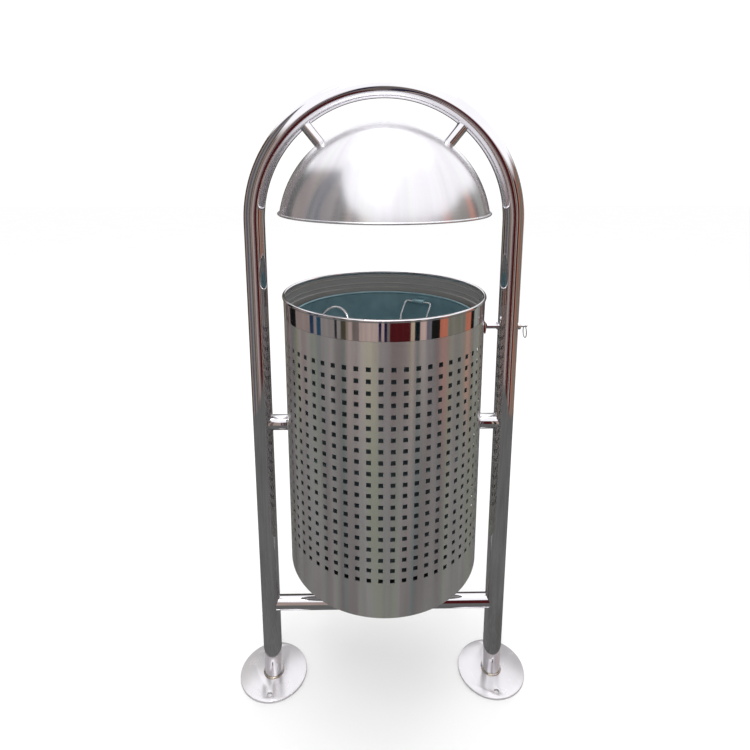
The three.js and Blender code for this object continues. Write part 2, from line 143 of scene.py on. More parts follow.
class Workpiece:
    """One mesh on the bench: started from a primitive, then shaped in edit mode."""

    def __init__(self, name: str) -> None:
        """Takes up the primitive that was just added.

        Args:
            name: The piece's own name.
        """
        self.obj = bpy.context.object
        self.obj.name = name
        self.obj.data.name = name

    @classmethod
    def bar(cls, name: str, radius: float, start: Vector, end: Vector, sides: int = 64) -> "Workpiece":
        """A round bar between two points.

        Args:
            name: The piece's name.
            radius: The bar's radius.
            start: Centre of one end.
            end: Centre of the other end.
            sides: Facets round it.

        Returns:
            The new piece, its place already in its mesh.
        """
        run = end - start
        bpy.ops.mesh.primitive_cylinder_add(
            vertices=sides,
            radius=radius,
            depth=run.length,
            location=(start + end) / 2,
            rotation=run.to_track_quat("Z", "Y").to_euler(),
        )
        return cls(name).settle()

    @classmethod
    def loop(
        cls,
        name: str,
        radius: float,
        centre: Vector,
        axis: Vector,
        sides: int,
        filled: bool,
    ) -> "Workpiece":
        """A circle to be drawn out along a path.

        Args:
            name: The piece's name.
            radius: The circle's radius.
            centre: Its centre.
            axis: The way it faces.
            sides: Points round it.
            filled: Whether it is a disc, which draws out solid.

        Returns:
            The new piece.
        """
        bpy.ops.mesh.primitive_circle_add(
            vertices=sides,
            radius=radius,
            fill_type="NGON" if filled else "NOTHING",
            location=centre,
            rotation=axis.to_track_quat("Z", "Y").to_euler(),
        )
        return cls(name).settle()

    @classmethod
    def traced(cls, name: str, points: Sequence[Vector], closed: bool) -> "Workpiece":
        """A line of edges drawn point by point from one vertex.

        Args:
            name: The piece's name.
            points: The line's points.
            closed: Whether it ends where it starts.

        Returns:
            The new piece.
        """
        bpy.ops.mesh.primitive_plane_add(size=0.01, location=points[0])
        piece = cls(name).settle()
        route = [*points, points[0]] if closed else list(points)
        with piece.editing():
            bpy.ops.mesh.select_all(action="SELECT")
            bpy.ops.mesh.merge(type="CENTER")
            for here, there in zip(route, route[1:]):
                piece.draw_out(there - here)
            if closed:
                piece.merge()
        return piece

    @classmethod
    def turned(
        cls,
        name: str,
        outline: Outline,
        steps: int = 64,
        centre: Vector | None = None,
        axis: Vector = Z_AXIS,
        closed: bool = True,
    ) -> "Workpiece":
        """An outline turned once round an axis, as on a lathe.

        Args:
            name: The piece's name.
            outline: Points as (radius, height along the axis).
            steps: Facets round the piece.
            centre: A point on the axis, from which heights count.
            axis: The axis.
            closed: Whether the outline closes on itself away from the axis.

        Returns:
            The new piece, with its faces turned outwards.
        """
        origin = centre or Vector((0, 0, 0))
        outward = beside(axis)
        points = [origin + outward * r + axis * h for r, h in outline]
        piece = cls.traced(name, points, closed)
        with piece.editing():
            bpy.ops.mesh.select_all(action="SELECT")
            piece.bend(math.tau, origin, axis, steps)
            piece.merge()
            piece.face_outwards()
        return piece

    @contextmanager
    def editing(self, mode: str = "VERT") -> Iterator[None]:
        """Edit mode on this piece alone, with nothing selected.

        Args:
            mode: Select mode: VERT, EDGE or FACE.

        Yields:
            Nothing; object mode comes back at the end.
        """
        select_only(self.obj)
        bpy.ops.object.mode_set(mode="EDIT")
        bpy.ops.mesh.select_mode(type=mode)
        bpy.ops.mesh.select_all(action="DESELECT")
        yield
        bpy.ops.object.mode_set(mode="OBJECT")

    def pick_faces(self, rule: Callable[[Vector, Vector], bool]) -> int:
        """Selects faces by their middle and normal, in edit mode.

        Args:
            rule: Says of (middle, normal) whether to take the face.

        Returns:
            How many faces were taken.
        """
        mesh = bmesh.from_edit_mesh(self.obj.data)
        taken = [f for f in mesh.faces if rule(f.calc_center_median(), f.normal)]
        for face in taken:
            face.select_set(True)
        bmesh.update_edit_mesh(self.obj.data)
        return len(taken)

    def draw_out(self, run: Vector) -> None:
        """Extrudes what is selected straight along a run, in edit mode."""
        bpy.ops.mesh.extrude_region_move(TRANSFORM_OT_translate={"value": run})

    def bend(self, angle: float, centre: Vector, axis: Vector, steps: int) -> None:
        """Extrudes what is selected round a bend, in edit mode.

        Args:
            angle: The bend's angle, right-handed about the axis.
            centre: A point on the axis.
            axis: The axis.
            steps: Number of straight steps.
        """
        bpy.ops.mesh.spin(steps=steps, angle=-angle, center=centre, axis=axis)

    def merge(self, distance: float = 1e-6) -> None:
        """Joins doubled points all over, in edit mode, and leaves all selected."""
        bpy.ops.mesh.select_all(action="SELECT")
        bpy.ops.mesh.remove_doubles(threshold=distance)

    def face_outwards(self) -> None:
        """Turns every face outwards, in edit mode, and leaves all selected."""
        bpy.ops.mesh.select_all(action="SELECT")
        bpy.ops.mesh.normals_make_consistent(inside=False)

    def settle(self) -> "Workpiece":
        """Moves the object's place and turn into its mesh.

        Returns:
            The piece itself.
        """
        select_only(self.obj)
        bpy.ops.object.transform_apply(location=True, rotation=True, scale=True)
        return self

    def put(self, place: Matrix) -> "Workpiece":
        """Moves the piece by a matrix and settles it there.

        Args:
            place: The move, in the bin's axes.

        Returns:
            The piece itself.
        """
        self.obj.matrix_world = place
        return self.settle()

    def apply(self, kind: str, **settings: object) -> "Workpiece":
        """Adds a modifier and applies it.

        Args:
            kind: The modifier's type.
            **settings: Its settings by name.

        Returns:
            The piece itself.
        """
        select_only(self.obj)
        modifier = self.obj.modifiers.new(kind.title(), kind)
        for key, value in settings.items():
            setattr(modifier, key, value)
        bpy.ops.object.modifier_apply(modifier=modifier.name)
        return self

    def wall(self, thickness: float) -> "Workpiece":
        """Gives an open skin a wall that grows inwards from it."""
        return self.apply("SOLIDIFY", thickness=thickness, offset=-1, use_even_offset=True)

    def ease_edges(self, width: float, segments: int = 2, angle: float = 35) -> "Workpiece":
        """Rounds every edge sharper than an angle.

        Args:
            width: Width of the rounding.
            segments: Steps across it.
            angle: Smallest edge angle that is rounded, in degrees.

        Returns:
            The piece itself.
        """
        return self.apply(
            "BEVEL",
            width=width,
            segments=segments,
            limit_method="ANGLE",
            angle_limit=math.radians(angle),
            harden_normals=False,
        )

    def cut(self, *tools: "Workpiece") -> "Workpiece":
        """Cuts other pieces out of this one and throws them away.

        Args:
            *tools: The pieces to cut with.

        Returns:
            The piece itself.
        """
        for tool in tools:
            self.apply("BOOLEAN", operation="DIFFERENCE", solver="EXACT", object=tool.obj)
            bpy.data.objects.remove(tool.obj)
        return self

    def smooth(self, angle: float = 40) -> "Workpiece":
        """Shades the piece smooth, except across edges sharper than an angle.

        Args:
            angle: The sharpest smooth edge, in degrees.

        Returns:
            The piece itself.
        """
        select_only(self.obj)
        bpy.ops.object.shade_smooth_by_angle(angle=math.radians(angle))
        return self

    def copy(self, name: str, place: Matrix) -> "Workpiece":
        """A second piece of the same shape, with its own mesh, somewhere else.

        Args:
            name: The copy's name.
            place: The move from this piece's place.

        Returns:
            The copy.
        """
        twin = self.obj.copy()
        twin.data = self.obj.data.copy()
        bpy.context.scene.collection.objects.link(twin)
        select_only(twin)
        return Workpiece(name).put(place)


# ------------------------------------------------------------------ finishes


class NodeSheet:
    """A material's node tree, with short calls for the nodes that the finishes use."""

    def __init__(self, name: str) -> None:
        """Starts a material with one shader.

        Args:
            name: The material's name.
        """
        self.material = bpy.data.materials.new(name)
        self.material.use_nodes = True
        self.nodes = self.material.node_tree.nodes
        self.nodes.clear()
        output = self.nodes.new("ShaderNodeOutputMaterial")
        self.shader = self.nodes.new("ShaderNodeBsdfPrincipled")
        self.wire(self.shader.outputs["BSDF"], output.inputs["Surface"])

    def wire(self, source: bpy.types.NodeSocket, target: bpy.types.NodeSocket) -> None:
        """Links an output to an input."""
        self.material.node_tree.links.new(source, target)

    def feed(self, node: bpy.types.Node, key: str | int, value: object) -> None:
        """Links a socket, or sets a plain value, on a node's input."""
        if isinstance(value, bpy.types.NodeSocket):
            self.wire(value, node.inputs[key])
        else:
            node.inputs[key].default_value = value

    def place(self) -> bpy.types.NodeSocket:
        """The point's place on the bin."""
        return self.nodes.new("ShaderNodeTexCoord").outputs["Object"]

    def parts(self, vector: bpy.types.NodeSocket) -> bpy.types.NodeOutputs:
        """A vector's three parts, by the names X, Y and Z."""
        node = self.nodes.new("ShaderNodeSeparateXYZ")
        self.wire(vector, node.inputs[0])
        return node.outputs

    def sum(self, operation: str, first: object, second: object = 0.0) -> bpy.types.NodeSocket:
        """A Math node.

        Args:
            operation: The node's operation.
            first: First value or socket.
            second: Second value or socket.

        Returns:
            Its output.
        """
        node = self.nodes.new("ShaderNodeMath")
        node.operation = operation
        self.feed(node, 0, first)
        self.feed(node, 1, second)
        return node.outputs[0]

    def noise(self, vector: bpy.types.NodeSocket, scale: float, detail: float = 2.0) -> bpy.types.NodeSocket:
        """A Noise texture's value over a vector."""
        node = self.nodes.new("ShaderNodeTexNoise")
        self.feed(node, "Vector", vector)
        self.feed(node, "Scale", scale)
        self.feed(node, "Detail", detail)
        return node.outputs["Fac"]

    def stretch(self, vector: bpy.types.NodeSocket, scale: Vector) -> bpy.types.NodeSocket:
        """The vector multiplied part by part, which draws a pattern out along the small parts."""
        node = self.nodes.new("ShaderNodeMapping")
        self.feed(node, "Vector", vector)
        self.feed(node, "Scale", scale)
        return node.outputs["Vector"]

    def around(self, axis: Vector, centre: Vector) -> bpy.types.NodeSocket:
        """Place on a round piece as (way round it, distance from its axis, way along it).

        Args:
            axis: The piece's axis, one of the bin's own.
            centre: A point on it.

        Returns:
            The vector, whose first part is an angle that jumps at the piece's back.
        """
        shift = self.nodes.new("ShaderNodeVectorMath")
        shift.operation = "SUBTRACT"
        self.feed(shift, 0, self.place())
        self.feed(shift, 1, centre)
        parts = self.parts(shift.outputs[0])
        names = ("X", "Y", "Z") if axis.z else (("Y", "Z", "X") if axis.x else ("X", "Z", "Y"))
        first, second, along = (parts[n] for n in names)
        turn = self.sum("ARCTAN2", first, self.sum("MULTIPLY", second, -1.0))
        squares = self.sum("POWER", first, 2.0), self.sum("POWER", second, 2.0)
        reach = self.sum("SQRT", self.sum("ADD", *squares))
        joined = self.nodes.new("ShaderNodeCombineXYZ")
        for key, value in zip(("X", "Y", "Z"), (turn, reach, along)):
            self.wire(value, joined.inputs[key])
        return joined.outputs[0]

    def ramp(
        self,
        factor: bpy.types.NodeSocket,
        stops: Sequence[tuple[float, Sequence[float]]],
        interpolation: str = "LINEAR",
    ) -> bpy.types.NodeSocket:
        """A colour ramp.

        Args:
            factor: What drives it.
            stops: (position, colour) pairs, lowest first; a colour has three parts.
            interpolation: How it goes from stop to stop.

        Returns:
            Its colour.
        """
        node = self.nodes.new("ShaderNodeValToRGB")
        node.color_ramp.interpolation = interpolation
        elements = node.color_ramp.elements
        while len(elements) < len(stops):
            elements.new(0.5)
        for element, (position, colour) in zip(elements, stops):
            element.position = position
            element.color = (*colour, 1.0)
        self.wire(factor, node.inputs[0])
        return node.outputs["Color"]

    def edge(
        self,
        value: bpy.types.NodeSocket,
        middle_value: float,
        half: float,
        start: float,
        end: float,
    ) -> bpy.types.NodeSocket:
        """Goes from start to end across a narrow band of a value."""
        return self.span(value, middle_value - half, middle_value + half, start, end)

    def span(
        self,
        value: bpy.types.NodeSocket,
        low: float,
        high: float,
        start: float,
        end: float,
    ) -> bpy.types.NodeSocket:
        """Maps low..high of a value to start..end, held at both ends."""
        node = self.nodes.new("ShaderNodeMapRange")
        node.clamp = True
        for key, number in zip(("From Min", "From Max", "To Min", "To Max"), (low, high, start, end)):
            self.feed(node, key, number)
        self.feed(node, "Value", value)
        return node.outputs[0]

    def tint(self, base: object, other: object, factor: object, blend: str = "MIX") -> bpy.types.NodeSocket:
        """Mixes two colours.

        Args:
            base: First colour or socket.
            other: Second colour or socket.
            factor: Share of the second.
            blend: The node's blend type.

        Returns:
            The mixed colour.
        """
        node = self.nodes.new("ShaderNodeMix")
        node.data_type = "RGBA"
        node.blend_type = blend
        self.feed(node, 0, factor)
        self.feed(node, 6, base)
        self.feed(node, 7, other)
        return node.outputs[2]

    def relief(self, height: bpy.types.NodeSocket, strength: float, depth: float) -> None:
        """Adds bump to the shader, over any bump that it already has.

        Args:
            height: What raises the surface.
            strength: Share of the bump that is used.
            depth: Its height in metres.
        """
        node = self.nodes.new("ShaderNodeBump")
        self.feed(node, "Strength", strength)
        self.feed(node, "Distance", depth)
        self.feed(node, "Height", height)
        normal = self.shader.inputs["Normal"]
        if normal.is_linked:
            self.wire(normal.links[0].from_socket, node.inputs["Normal"])
        self.wire(node.outputs["Normal"], normal)

    def grain_direction(self, axis: str) -> None:
        """Makes the shine stretch across a grain that runs round an axis."""
        node = self.nodes.new("ShaderNodeTangent")
        node.direction_type = "RADIAL"
        node.axis = axis
        self.wire(node.outputs["Tangent"], self.shader.inputs["Tangent"])


@dataclass(frozen=True)
class PolishedSteel:
    """Mirror-polished stainless steel with faint waves, smears and hairlines."""

    name: str = "polished stainless"
    tone: tuple[float, float, float] = (0.80, 0.79, 0.81)
    roughness: tuple[float, float] = (0.035, 0.11)
    wave: float = 0.00012
    dull_within: float = 0.0
    dull_below: float = 0.0
    dull_tone: tuple[float, float, float] = (0.50, 0.475, 0.46)
    metal: float = 1.0

    def make(self) -> bpy.types.Material:
        """Builds the material.

        Returns:
            The material, left dull and brushed inside a radius and below a height.
        """
        sheet = NodeSheet(self.name)
        place = sheet.place()
        smears = sheet.noise(place, 22.0, 5.0)
        hairlines = sheet.noise(sheet.stretch(place, Vector((60, 60, 4))), 30.0, 2.0)
        clouds = sheet.noise(place, 6.0, 3.0)
        cloudy = (*[t * 0.86 for t in self.tone], 1)
        colour = sheet.tint((*self.tone, 1), cloudy, sheet.span(clouds, 0.35, 0.7, 0.0, 0.7))
        sheet.shader.inputs["Metallic"].default_value = self.metal
        smeared = sheet.span(smears, 0.35, 0.75, *self.roughness)
        rough = sheet.sum("ADD", smeared, sheet.span(hairlines, 0.6, 0.8, 0.0, 0.04))
        if self.dull_within:
            around = sheet.around(Z_AXIS, Vector((0, 0, 0)))
            parts = sheet.parts(around)
            within = sheet.edge(parts["Y"], self.dull_within, 0.0003, 1.0, 0.0)
            below = sheet.edge(parts["Z"], self.dull_below, 0.0006, 1.0, 0.0)
            inside = sheet.sum("MULTIPLY", within, below)
            brushed = sheet.noise(sheet.stretch(around, Vector((4, 300, 300))), 2.0, 3.0)
            dull = sheet.tint((*self.dull_tone, 1), (*[t * 0.8 for t in self.dull_tone], 1), brushed)
            colour = sheet.tint(colour, dull, inside)
            rough = sheet.sum("ADD", rough, sheet.sum("MULTIPLY", inside, 0.32))
            sheet.feed(sheet.shader, "Metallic", sheet.span(inside, 0.0, 1.0, 1.0, 0.3))
        sheet.feed(sheet.shader, "Base Color", colour)
        sheet.feed(sheet.shader, "Roughness", rough)
        sheet.relief(sheet.noise(place, 14.0, 1.0), 0.35, self.wave)
        sheet.relief(hairlines, 0.05, 0.00004)
        return sheet.material


@dataclass(frozen=True)
class GrainedSteel:
    """Stainless steel with a fine grain that runs round an axis: satin or spun, with painted reflection
    streaks running upright in its colour.
    """

    name: str
    tone: tuple[float, float, float]
    shade: tuple[float, float, float]
    roughness: tuple[float, float]
    axis: str = "Z"
    centre: tuple[float, float, float] = (0.0, 0.0, 0.0)
    stretch: float = 0.6
    line: float = 0.00003
    metal: float = 1.0
    # Weight of the painted reflection streaks in the colour.
    streak: float = 0.5

    def make(self) -> bpy.types.Material:
        """Builds the material.

        Returns:
            The material.
        """
        sheet = NodeSheet(self.name)
        around = sheet.around(Z_AXIS if self.axis == "Z" else X_AXIS, Vector(self.centre))
        fine = sheet.noise(sheet.stretch(around, Vector((5, 900, 900))), 3.0, 3.0)
        coarse = sheet.noise(sheet.stretch(around, Vector((2.5, 160, 160))), 2.0, 2.0)
        # Painted reflection: upright streaks, darker and faintly tinted green, pink and blue, stand in for
        # the surroundings seen in the steel.
        upright = sheet.noise(sheet.stretch(around, Vector((5, 0.5, 0.9))), 1.3, 3.0)
        blotch = sheet.noise(sheet.place(), 7.0, 4.0)
        mixed = sheet.sum("ADD", sheet.sum("MULTIPLY", fine, 0.6), sheet.sum("MULTIPLY", coarse, 0.4))
        colour = sheet.tint((*self.shade, 1), (*self.tone, 1), sheet.span(mixed, 0.2, 0.8, 0.2, 0.8))
        reflection_dark = (*[t * 0.62 for t in self.tone], 1)
        colour = sheet.tint(colour, reflection_dark, sheet.span(upright, 0.4, 0.7, 0.0, self.streak))
        reflection_hues = sheet.noise(sheet.stretch(around, Vector((4, 0.4, 0.5))), 1.7, 2.0)
        reflection_tints = [
            (0.34, (0.93, 1.0, 0.84)),
            (0.48, (1.0, 1.0, 1.0)),
            (0.6, (1.0, 0.93, 0.93)),
            (0.72, (0.88, 0.98, 1.0)),
        ]
        colour = sheet.tint(colour, sheet.ramp(reflection_hues, reflection_tints), self.streak, "MULTIPLY")
        colour = sheet.tint(colour, (0.95, 0.94, 0.93, 1), sheet.span(blotch, 0.5, 0.8, 0.0, 0.3), "MULTIPLY")
        sheet.feed(sheet.shader, "Base Color", colour)
        sheet.shader.inputs["Metallic"].default_value = self.metal
        sheet.feed(sheet.shader, "Roughness", sheet.span(mixed, 0.3, 0.7, *self.roughness))
        sheet.shader.inputs["Anisotropic"].default_value = self.stretch
        sheet.shader.inputs["Anisotropic Rotation"].default_value = 0.25
        sheet.grain_direction(self.axis)
        sheet.relief(fine, 0.08, self.line)
        sheet.relief(coarse, 0.05, self.line)
        return sheet.material


@dataclass(frozen=True)
class GalvanisedSteel:
    """Zinc-dipped sheet with soft spangles and runs, and painted shade outside a radius and below a height,
    where the liner's outer wall sits in the dark gap inside the barrel.
    """

    name: str = "galvanised sheet"
    tone: tuple[float, float, float] = (0.36, 0.55, 0.60)
    shade: tuple[float, float, float] = (0.27, 0.43, 0.48)
    # Painted shade: colour for the liner's outer wall below its rim, standing in for the dark gap between the
    # liner and the perforated shell.
    soiled: tuple[float, float, float] = (0.12, 0.165, 0.18)
    soiled_beyond: float = 0.1705
    soiled_below: float = 0.80

    def make(self) -> bpy.types.Material:
        """Builds the material.

        Returns:
            The material.
        """
        sheet = NodeSheet(self.name)
        place = sheet.place()
        spangle = sheet.nodes.new("ShaderNodeTexVoronoi")
        sheet.feed(spangle, "Vector", place)
        sheet.feed(spangle, "Scale", 70.0)
        parts = sheet.nodes.new("ShaderNodeSeparateColor")
        sheet.wire(spangle.outputs["Color"], parts.inputs[0])
        runs = sheet.noise(sheet.stretch(place, Vector((14, 14, 1.6))), 2.0, 4.0)
        mottle = sheet.noise(place, 30.0, 5.0)
        colour = sheet.tint((*self.shade, 1), (*self.tone, 1), sheet.span(mottle, 0.3, 0.7, 0.0, 1.0))
        colour = sheet.tint(colour, (0.42, 0.60, 0.64, 1), sheet.sum("MULTIPLY", parts.outputs[0], 0.25))
        colour = sheet.tint(colour, (0.17, 0.29, 0.35, 1), sheet.span(runs, 0.5, 0.75, 0.0, 0.3))
        # Painted shade: outside the wall's radius and below the rim the sheet takes the dark colour, for the
        # shade in the gap between liner and shell.
        round_parts = sheet.parts(sheet.around(Z_AXIS, Vector((0, 0, 0))))
        beyond = sheet.edge(round_parts["Y"], self.soiled_beyond, 0.0002, 0.0, 1.0)
        below = sheet.edge(round_parts["Z"], self.soiled_below, 0.001, 1.0, 0.0)
        colour = sheet.tint(colour, (*self.soiled, 1), sheet.sum("MULTIPLY", beyond, below))
        sheet.feed(sheet.shader, "Base Color", colour)
        sheet.shader.inputs["Metallic"].default_value = 0.6
        sheet.feed(sheet.shader, "Roughness", sheet.span(parts.outputs[1], 0.0, 1.0, 0.34, 0.52))
        sheet.relief(spangle.outputs["Distance"], 0.1, 0.0002)
        sheet.relief(mottle, 0.15, 0.0002)
        return sheet.material


@dataclass(frozen=True)
class DrawnSteel:
    """Bright wire and small turned parts, with tool marks and darker worn patches."""

    name: str = "bright drawn steel"
    tone: tuple[float, float, float] = (0.93, 0.93, 0.94)
    roughness: tuple[float, float] = (0.12, 0.26)

    def make(self) -> bpy.types.Material:
        """Builds the material.

        Returns:
            The material.
        """
        sheet = NodeSheet(self.name)
        place = sheet.place()
        marks = sheet.noise(place, 180.0, 3.0)
        patches = sheet.noise(place, 40.0, 3.0)
        worn = (*[t * 0.75 for t in self.tone], 1)
        colour = sheet.tint((*self.tone, 1), worn, sheet.span(patches, 0.5, 0.75, 0.0, 0.6))
        sheet.feed(sheet.shader, "Base Color", colour)
        sheet.shader.inputs["Metallic"].default_value = 0.8
        sheet.feed(sheet.shader, "Roughness", sheet.span(marks, 0.3, 0.7, *self.roughness))
        sheet.relief(marks, 0.2, 0.00005)
        return sheet.material


@dataclass(frozen=True)
class WeldBead:
    """A dressed weld: ripples, and straw to blue heat tint in places."""

    name: str = "dressed weld"

    def make(self) -> bpy.types.Material:
        """Builds the material.

        Returns:
            The material.
        """
        sheet = NodeSheet(self.name)
        place = sheet.place()
        heat = sheet.noise(place, 55.0, 3.0)
        ripples = sheet.noise(place, 320.0, 2.0)
        stops = [(0.35, (0.66, 0.65, 0.66)), (0.55, (0.60, 0.53, 0.42)), (0.7, (0.36, 0.36, 0.46))]
        sheet.feed(sheet.shader, "Base Color", sheet.ramp(heat, stops))
        sheet.shader.inputs["Metallic"].default_value = 1.0
        sheet.feed(sheet.shader, "Roughness", sheet.span(ripples, 0.3, 0.7, 0.18, 0.4))
        sheet.relief(ripples, 0.35, 0.0003)
        return sheet.material


@dataclass(frozen=True)
class Nylon:
    """Natural nylon, with a little light under its surface and a matt skin."""

    name: str = "natural nylon"
    tone: tuple[float, float, float] = (0.82, 0.80, 0.74)

    def make(self) -> bpy.types.Material:
        """Builds the material.

        Returns:
            The material.
        """
        sheet = NodeSheet(self.name)
        place = sheet.place()
        grime = sheet.noise(place, 90.0, 4.0)
        colour = sheet.tint((*self.tone, 1), (0.55, 0.52, 0.46, 1), sheet.span(grime, 0.5, 0.75, 0.0, 0.6))
        sheet.feed(sheet.shader, "Base Color", colour)
        sheet.feed(sheet.shader, "Roughness", sheet.span(grime, 0.3, 0.7, 0.42, 0.6))
        sheet.shader.inputs["Subsurface Weight"].default_value = 0.1
        sheet.relief(sheet.noise(place, 600.0, 2.0), 0.1, 0.00005)
        return sheet.material


class Finishes:
    """The bin's finishes, each made once and shared."""

    def __init__(self) -> None:
        """Makes every finish."""
        satin = GrainedSteel(
            name="satin stainless",
            tone=(0.62, 0.605, 0.60),
            shade=(0.54, 0.53, 0.525),
            roughness=(0.2, 0.27),
            metal=0.81,
            streak=0.95,
        )
        spun = GrainedSteel(
            name="spun stainless",
            tone=(0.80, 0.79, 0.82),
            shade=(0.71, 0.70, 0.73),
            roughness=(0.18, 0.26),
            stretch=0.55,
            metal=0.86,
            streak=0.25,
        )
        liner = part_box("liner")[1]
        wall = liner.x - 0.0025
        self.materials = {
            Slot.POLISHED: PolishedSteel().make(),
            Slot.SATIN: satin.make(),
            Slot.SPUN: spun.make(),
            # The liner's outer wall below its rim is given painted shade.
            Slot.GALVANISED: GalvanisedSteel(soiled_beyond=wall, soiled_below=liner.z - 0.008).make(),
            Slot.WIRE: DrawnSteel().make(),
            Slot.WELD: WeldBead().make(),
            Slot.NYLON: Nylon().make(),
        }
        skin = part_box("barrel_shell")[1].x
        rim_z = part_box("barrel_collar")[1].z
        self.collar = PolishedSteel(
            name="polished, dull inside",
            dull_within=skin - 0.0006,
            dull_below=rim_z - 0.0065,
        ).make()
        self.pan = GrainedSteel(
            name="pan stainless",
            tone=(0.62, 0.605, 0.60),
            shade=(0.54, 0.53, 0.525),
            roughness=(0.26, 0.34),
            stretch=0.2,
            metal=0.81,
            streak=0.0,
        ).make()
        self.split_ring = DrawnSteel("split ring steel", (0.17, 0.17, 0.18)).make()
        self.plate = PolishedSteel("ground plate", (0.86, 0.84, 0.87), (0.2, 0.32), metal=0.55).make()

    def dress(
        self,
        piece: Workpiece,
        slot: Slot,
        body: Body,
        nodes: Sequence[str],
        finish: bpy.types.Material | None = None,
    ) -> None:
        """Gives a piece its finish, its body and the nodes it stands for.

        Args:
            piece: The piece.
            slot: Its material slot.
            body: The body it rides on.
            nodes: The frame's nodes that it replaces.
            finish: A finish of its own, in place of its slot's.
        """
        piece.obj.data.materials.clear()
        piece.obj.data.materials.append(finish or self.materials[slot])
        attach(piece.obj, body.value)
        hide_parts(*nodes)
        log.info("%s rides on %s", piece.obj.name, body.value)

    def dress_node(self, node: str, slot: Slot) -> None:
        """Gives a node of the frame that stays as it is its finish.

        Args:
            node: The node's name.
            slot: Its material slot.
        """
        mesh = frame["nodes"][node].data
        mesh.materials.clear()
        mesh.materials.append(self.materials[slot])
        log.info("%s keeps its own shape", node)


# ------------------------------------------------------------------ sub-assemblies


def middle(node: str) -> Vector:
    """The middle of a node's box."""
    low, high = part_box(node)
    return (low + high) / 2


@dataclass
class Hoop:
    """The bent tube, its base plates and foot welds, and the rail between its legs."""

    tube_radius: float = 0.019
    tube_wall: float = 0.0015
    tube_sides: int = 64
    bend_steps: int = 112
    plate_edge: float = 0.0008
    anchor_circle: float = 0.054
    anchor_radius: float = 0.005
    anchor_count: int = 2
    weld_width: float = 0.0025
    sleeve_radius: float = 0.0073
    leg_x: float = field(init=False)
    bend_z: float = field(init=False)
    plate_top: float = field(init=False)

    def __post_init__(self) -> None:
        """Reads the hoop's places from the frame."""
        low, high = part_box("arch_tube")
        self.leg_x = high.x - self.tube_radius
        self.bend_z = high.z - self.tube_radius - self.leg_x
        self.plate_top = low.z

    def leg(self, side: Side, gap: float = 0.0002) -> Workpiece:
        """A solid as thick as a leg, to cut ends that fit it.

        Args:
            side: Which leg.
            gap: How much thicker the solid is than the leg.

        Returns:
            The solid.
        """
        x = side.value * self.leg_x
        bottom, top = Vector((x, 0, self.plate_top)), Vector((x, 0, self.bend_z))
        return Workpiece.bar("leg_cutter", self.tube_radius + gap, bottom, top, self.tube_sides)

    def tube(self) -> Workpiece:
        """Draws the tube up the left leg, round the bend and down the right leg."""
        foot = Vector((-self.leg_x, 0, self.plate_top))
        rise = Vector((0, 0, self.bend_z - self.plate_top))
        piece = Workpiece.loop("hoop_tube", self.tube_radius, foot, Z_AXIS, self.tube_sides, filled=False)
        with piece.editing():
            bpy.ops.mesh.select_all(action="SELECT")
            piece.draw_out(rise)
            piece.bend(math.pi, Vector((0, 0, self.bend_z)), Y_AXIS, self.bend_steps)
            piece.draw_out(-rise)
            piece.merge()
            piece.face_outwards()
        piece.wall(self.tube_wall)
        z = middle("latch_sleeve").z
        x = self.leg_x
        ends = Vector((x - 0.03, 0, z)), Vector((x + 0.03, 0, z))
        bore = Workpiece.bar("bore", self.sleeve_radius, *ends, 48)
        return piece.cut(bore).smooth(35)

    def plate(self, side: Side) -> Workpiece:
        """A round base plate with its anchor holes and eased edges."""
        low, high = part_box(f"base_plate_{side.word}")
        centre = (low + high) / 2
        bottom, top = Vector((centre.x, 0, low.z)), Vector((centre.x, 0, high.z))
        piece = Workpiece.bar(f"{side.word}_base_plate", (high.x - low.x) / 2, bottom, top, 144)
        for i in range(self.anchor_count):
            angle = math.tau * i / self.anchor_count
            hole = centre + Vector((math.sin(angle), math.cos(angle), 0)) * self.anchor_circle
            down, up = hole - Z_AXIS * 0.01, hole + Z_AXIS * 0.01
            piece.cut(Workpiece.bar("anchor_cutter", self.anchor_radius, down, up, 40))
        return piece.ease_edges(self.plate_edge, 3).smooth(30)

    def foot_weld(self, side: Side) -> Workpiece:
        """The weld bead round a leg's foot."""
        inner = self.tube_radius + 0.00005
        base = Vector((side.value * self.leg_x, 0, self.plate_top))
        width = self.weld_width
        bulge = arc((inner + width * 0.35, width * 0.3), width * 0.62, -20, 110, 8)
        outline = [(inner, 0.00002), (inner + width, 0.00002), *bulge, (inner, width * 0.98)]
        return Workpiece.turned(f"{side.word}_foot_weld", outline, 72, base).smooth(60)

    def rail(self) -> Workpiece:
        """The rail between the legs, its ends shaped to fit them."""
        low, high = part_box("crossbar")
        radius, z = (high.z - low.z) / 2, (low.z + high.z) / 2
        ends = Vector((-self.leg_x, 0, z)), Vector((self.leg_x, 0, z))
        piece = Workpiece.bar("leg_rail", radius, *ends, 72)
        return piece.cut(self.leg(Side.LEFT), self.leg(Side.RIGHT)).smooth(35)

    def build(self, finishes: Finishes) -> None:
        """Models and dresses the whole hoop.

        Args:
            finishes: The bin's finishes.
        """
        finishes.dress(self.tube(), Slot.POLISHED, Body.HOOP, ["arch_tube"])
        finishes.dress(self.rail(), Slot.POLISHED, Body.HOOP, ["crossbar"])
        for side in Side:
            plate, bead = self.plate(side), self.foot_weld(side)
            finishes.dress(plate, Slot.POLISHED, Body.HOOP, [f"base_plate_{side.word}"], finishes.plate)
            finishes.dress(bead, Slot.WELD, Body.HOOP, [f"foot_weld_{side.word}"])


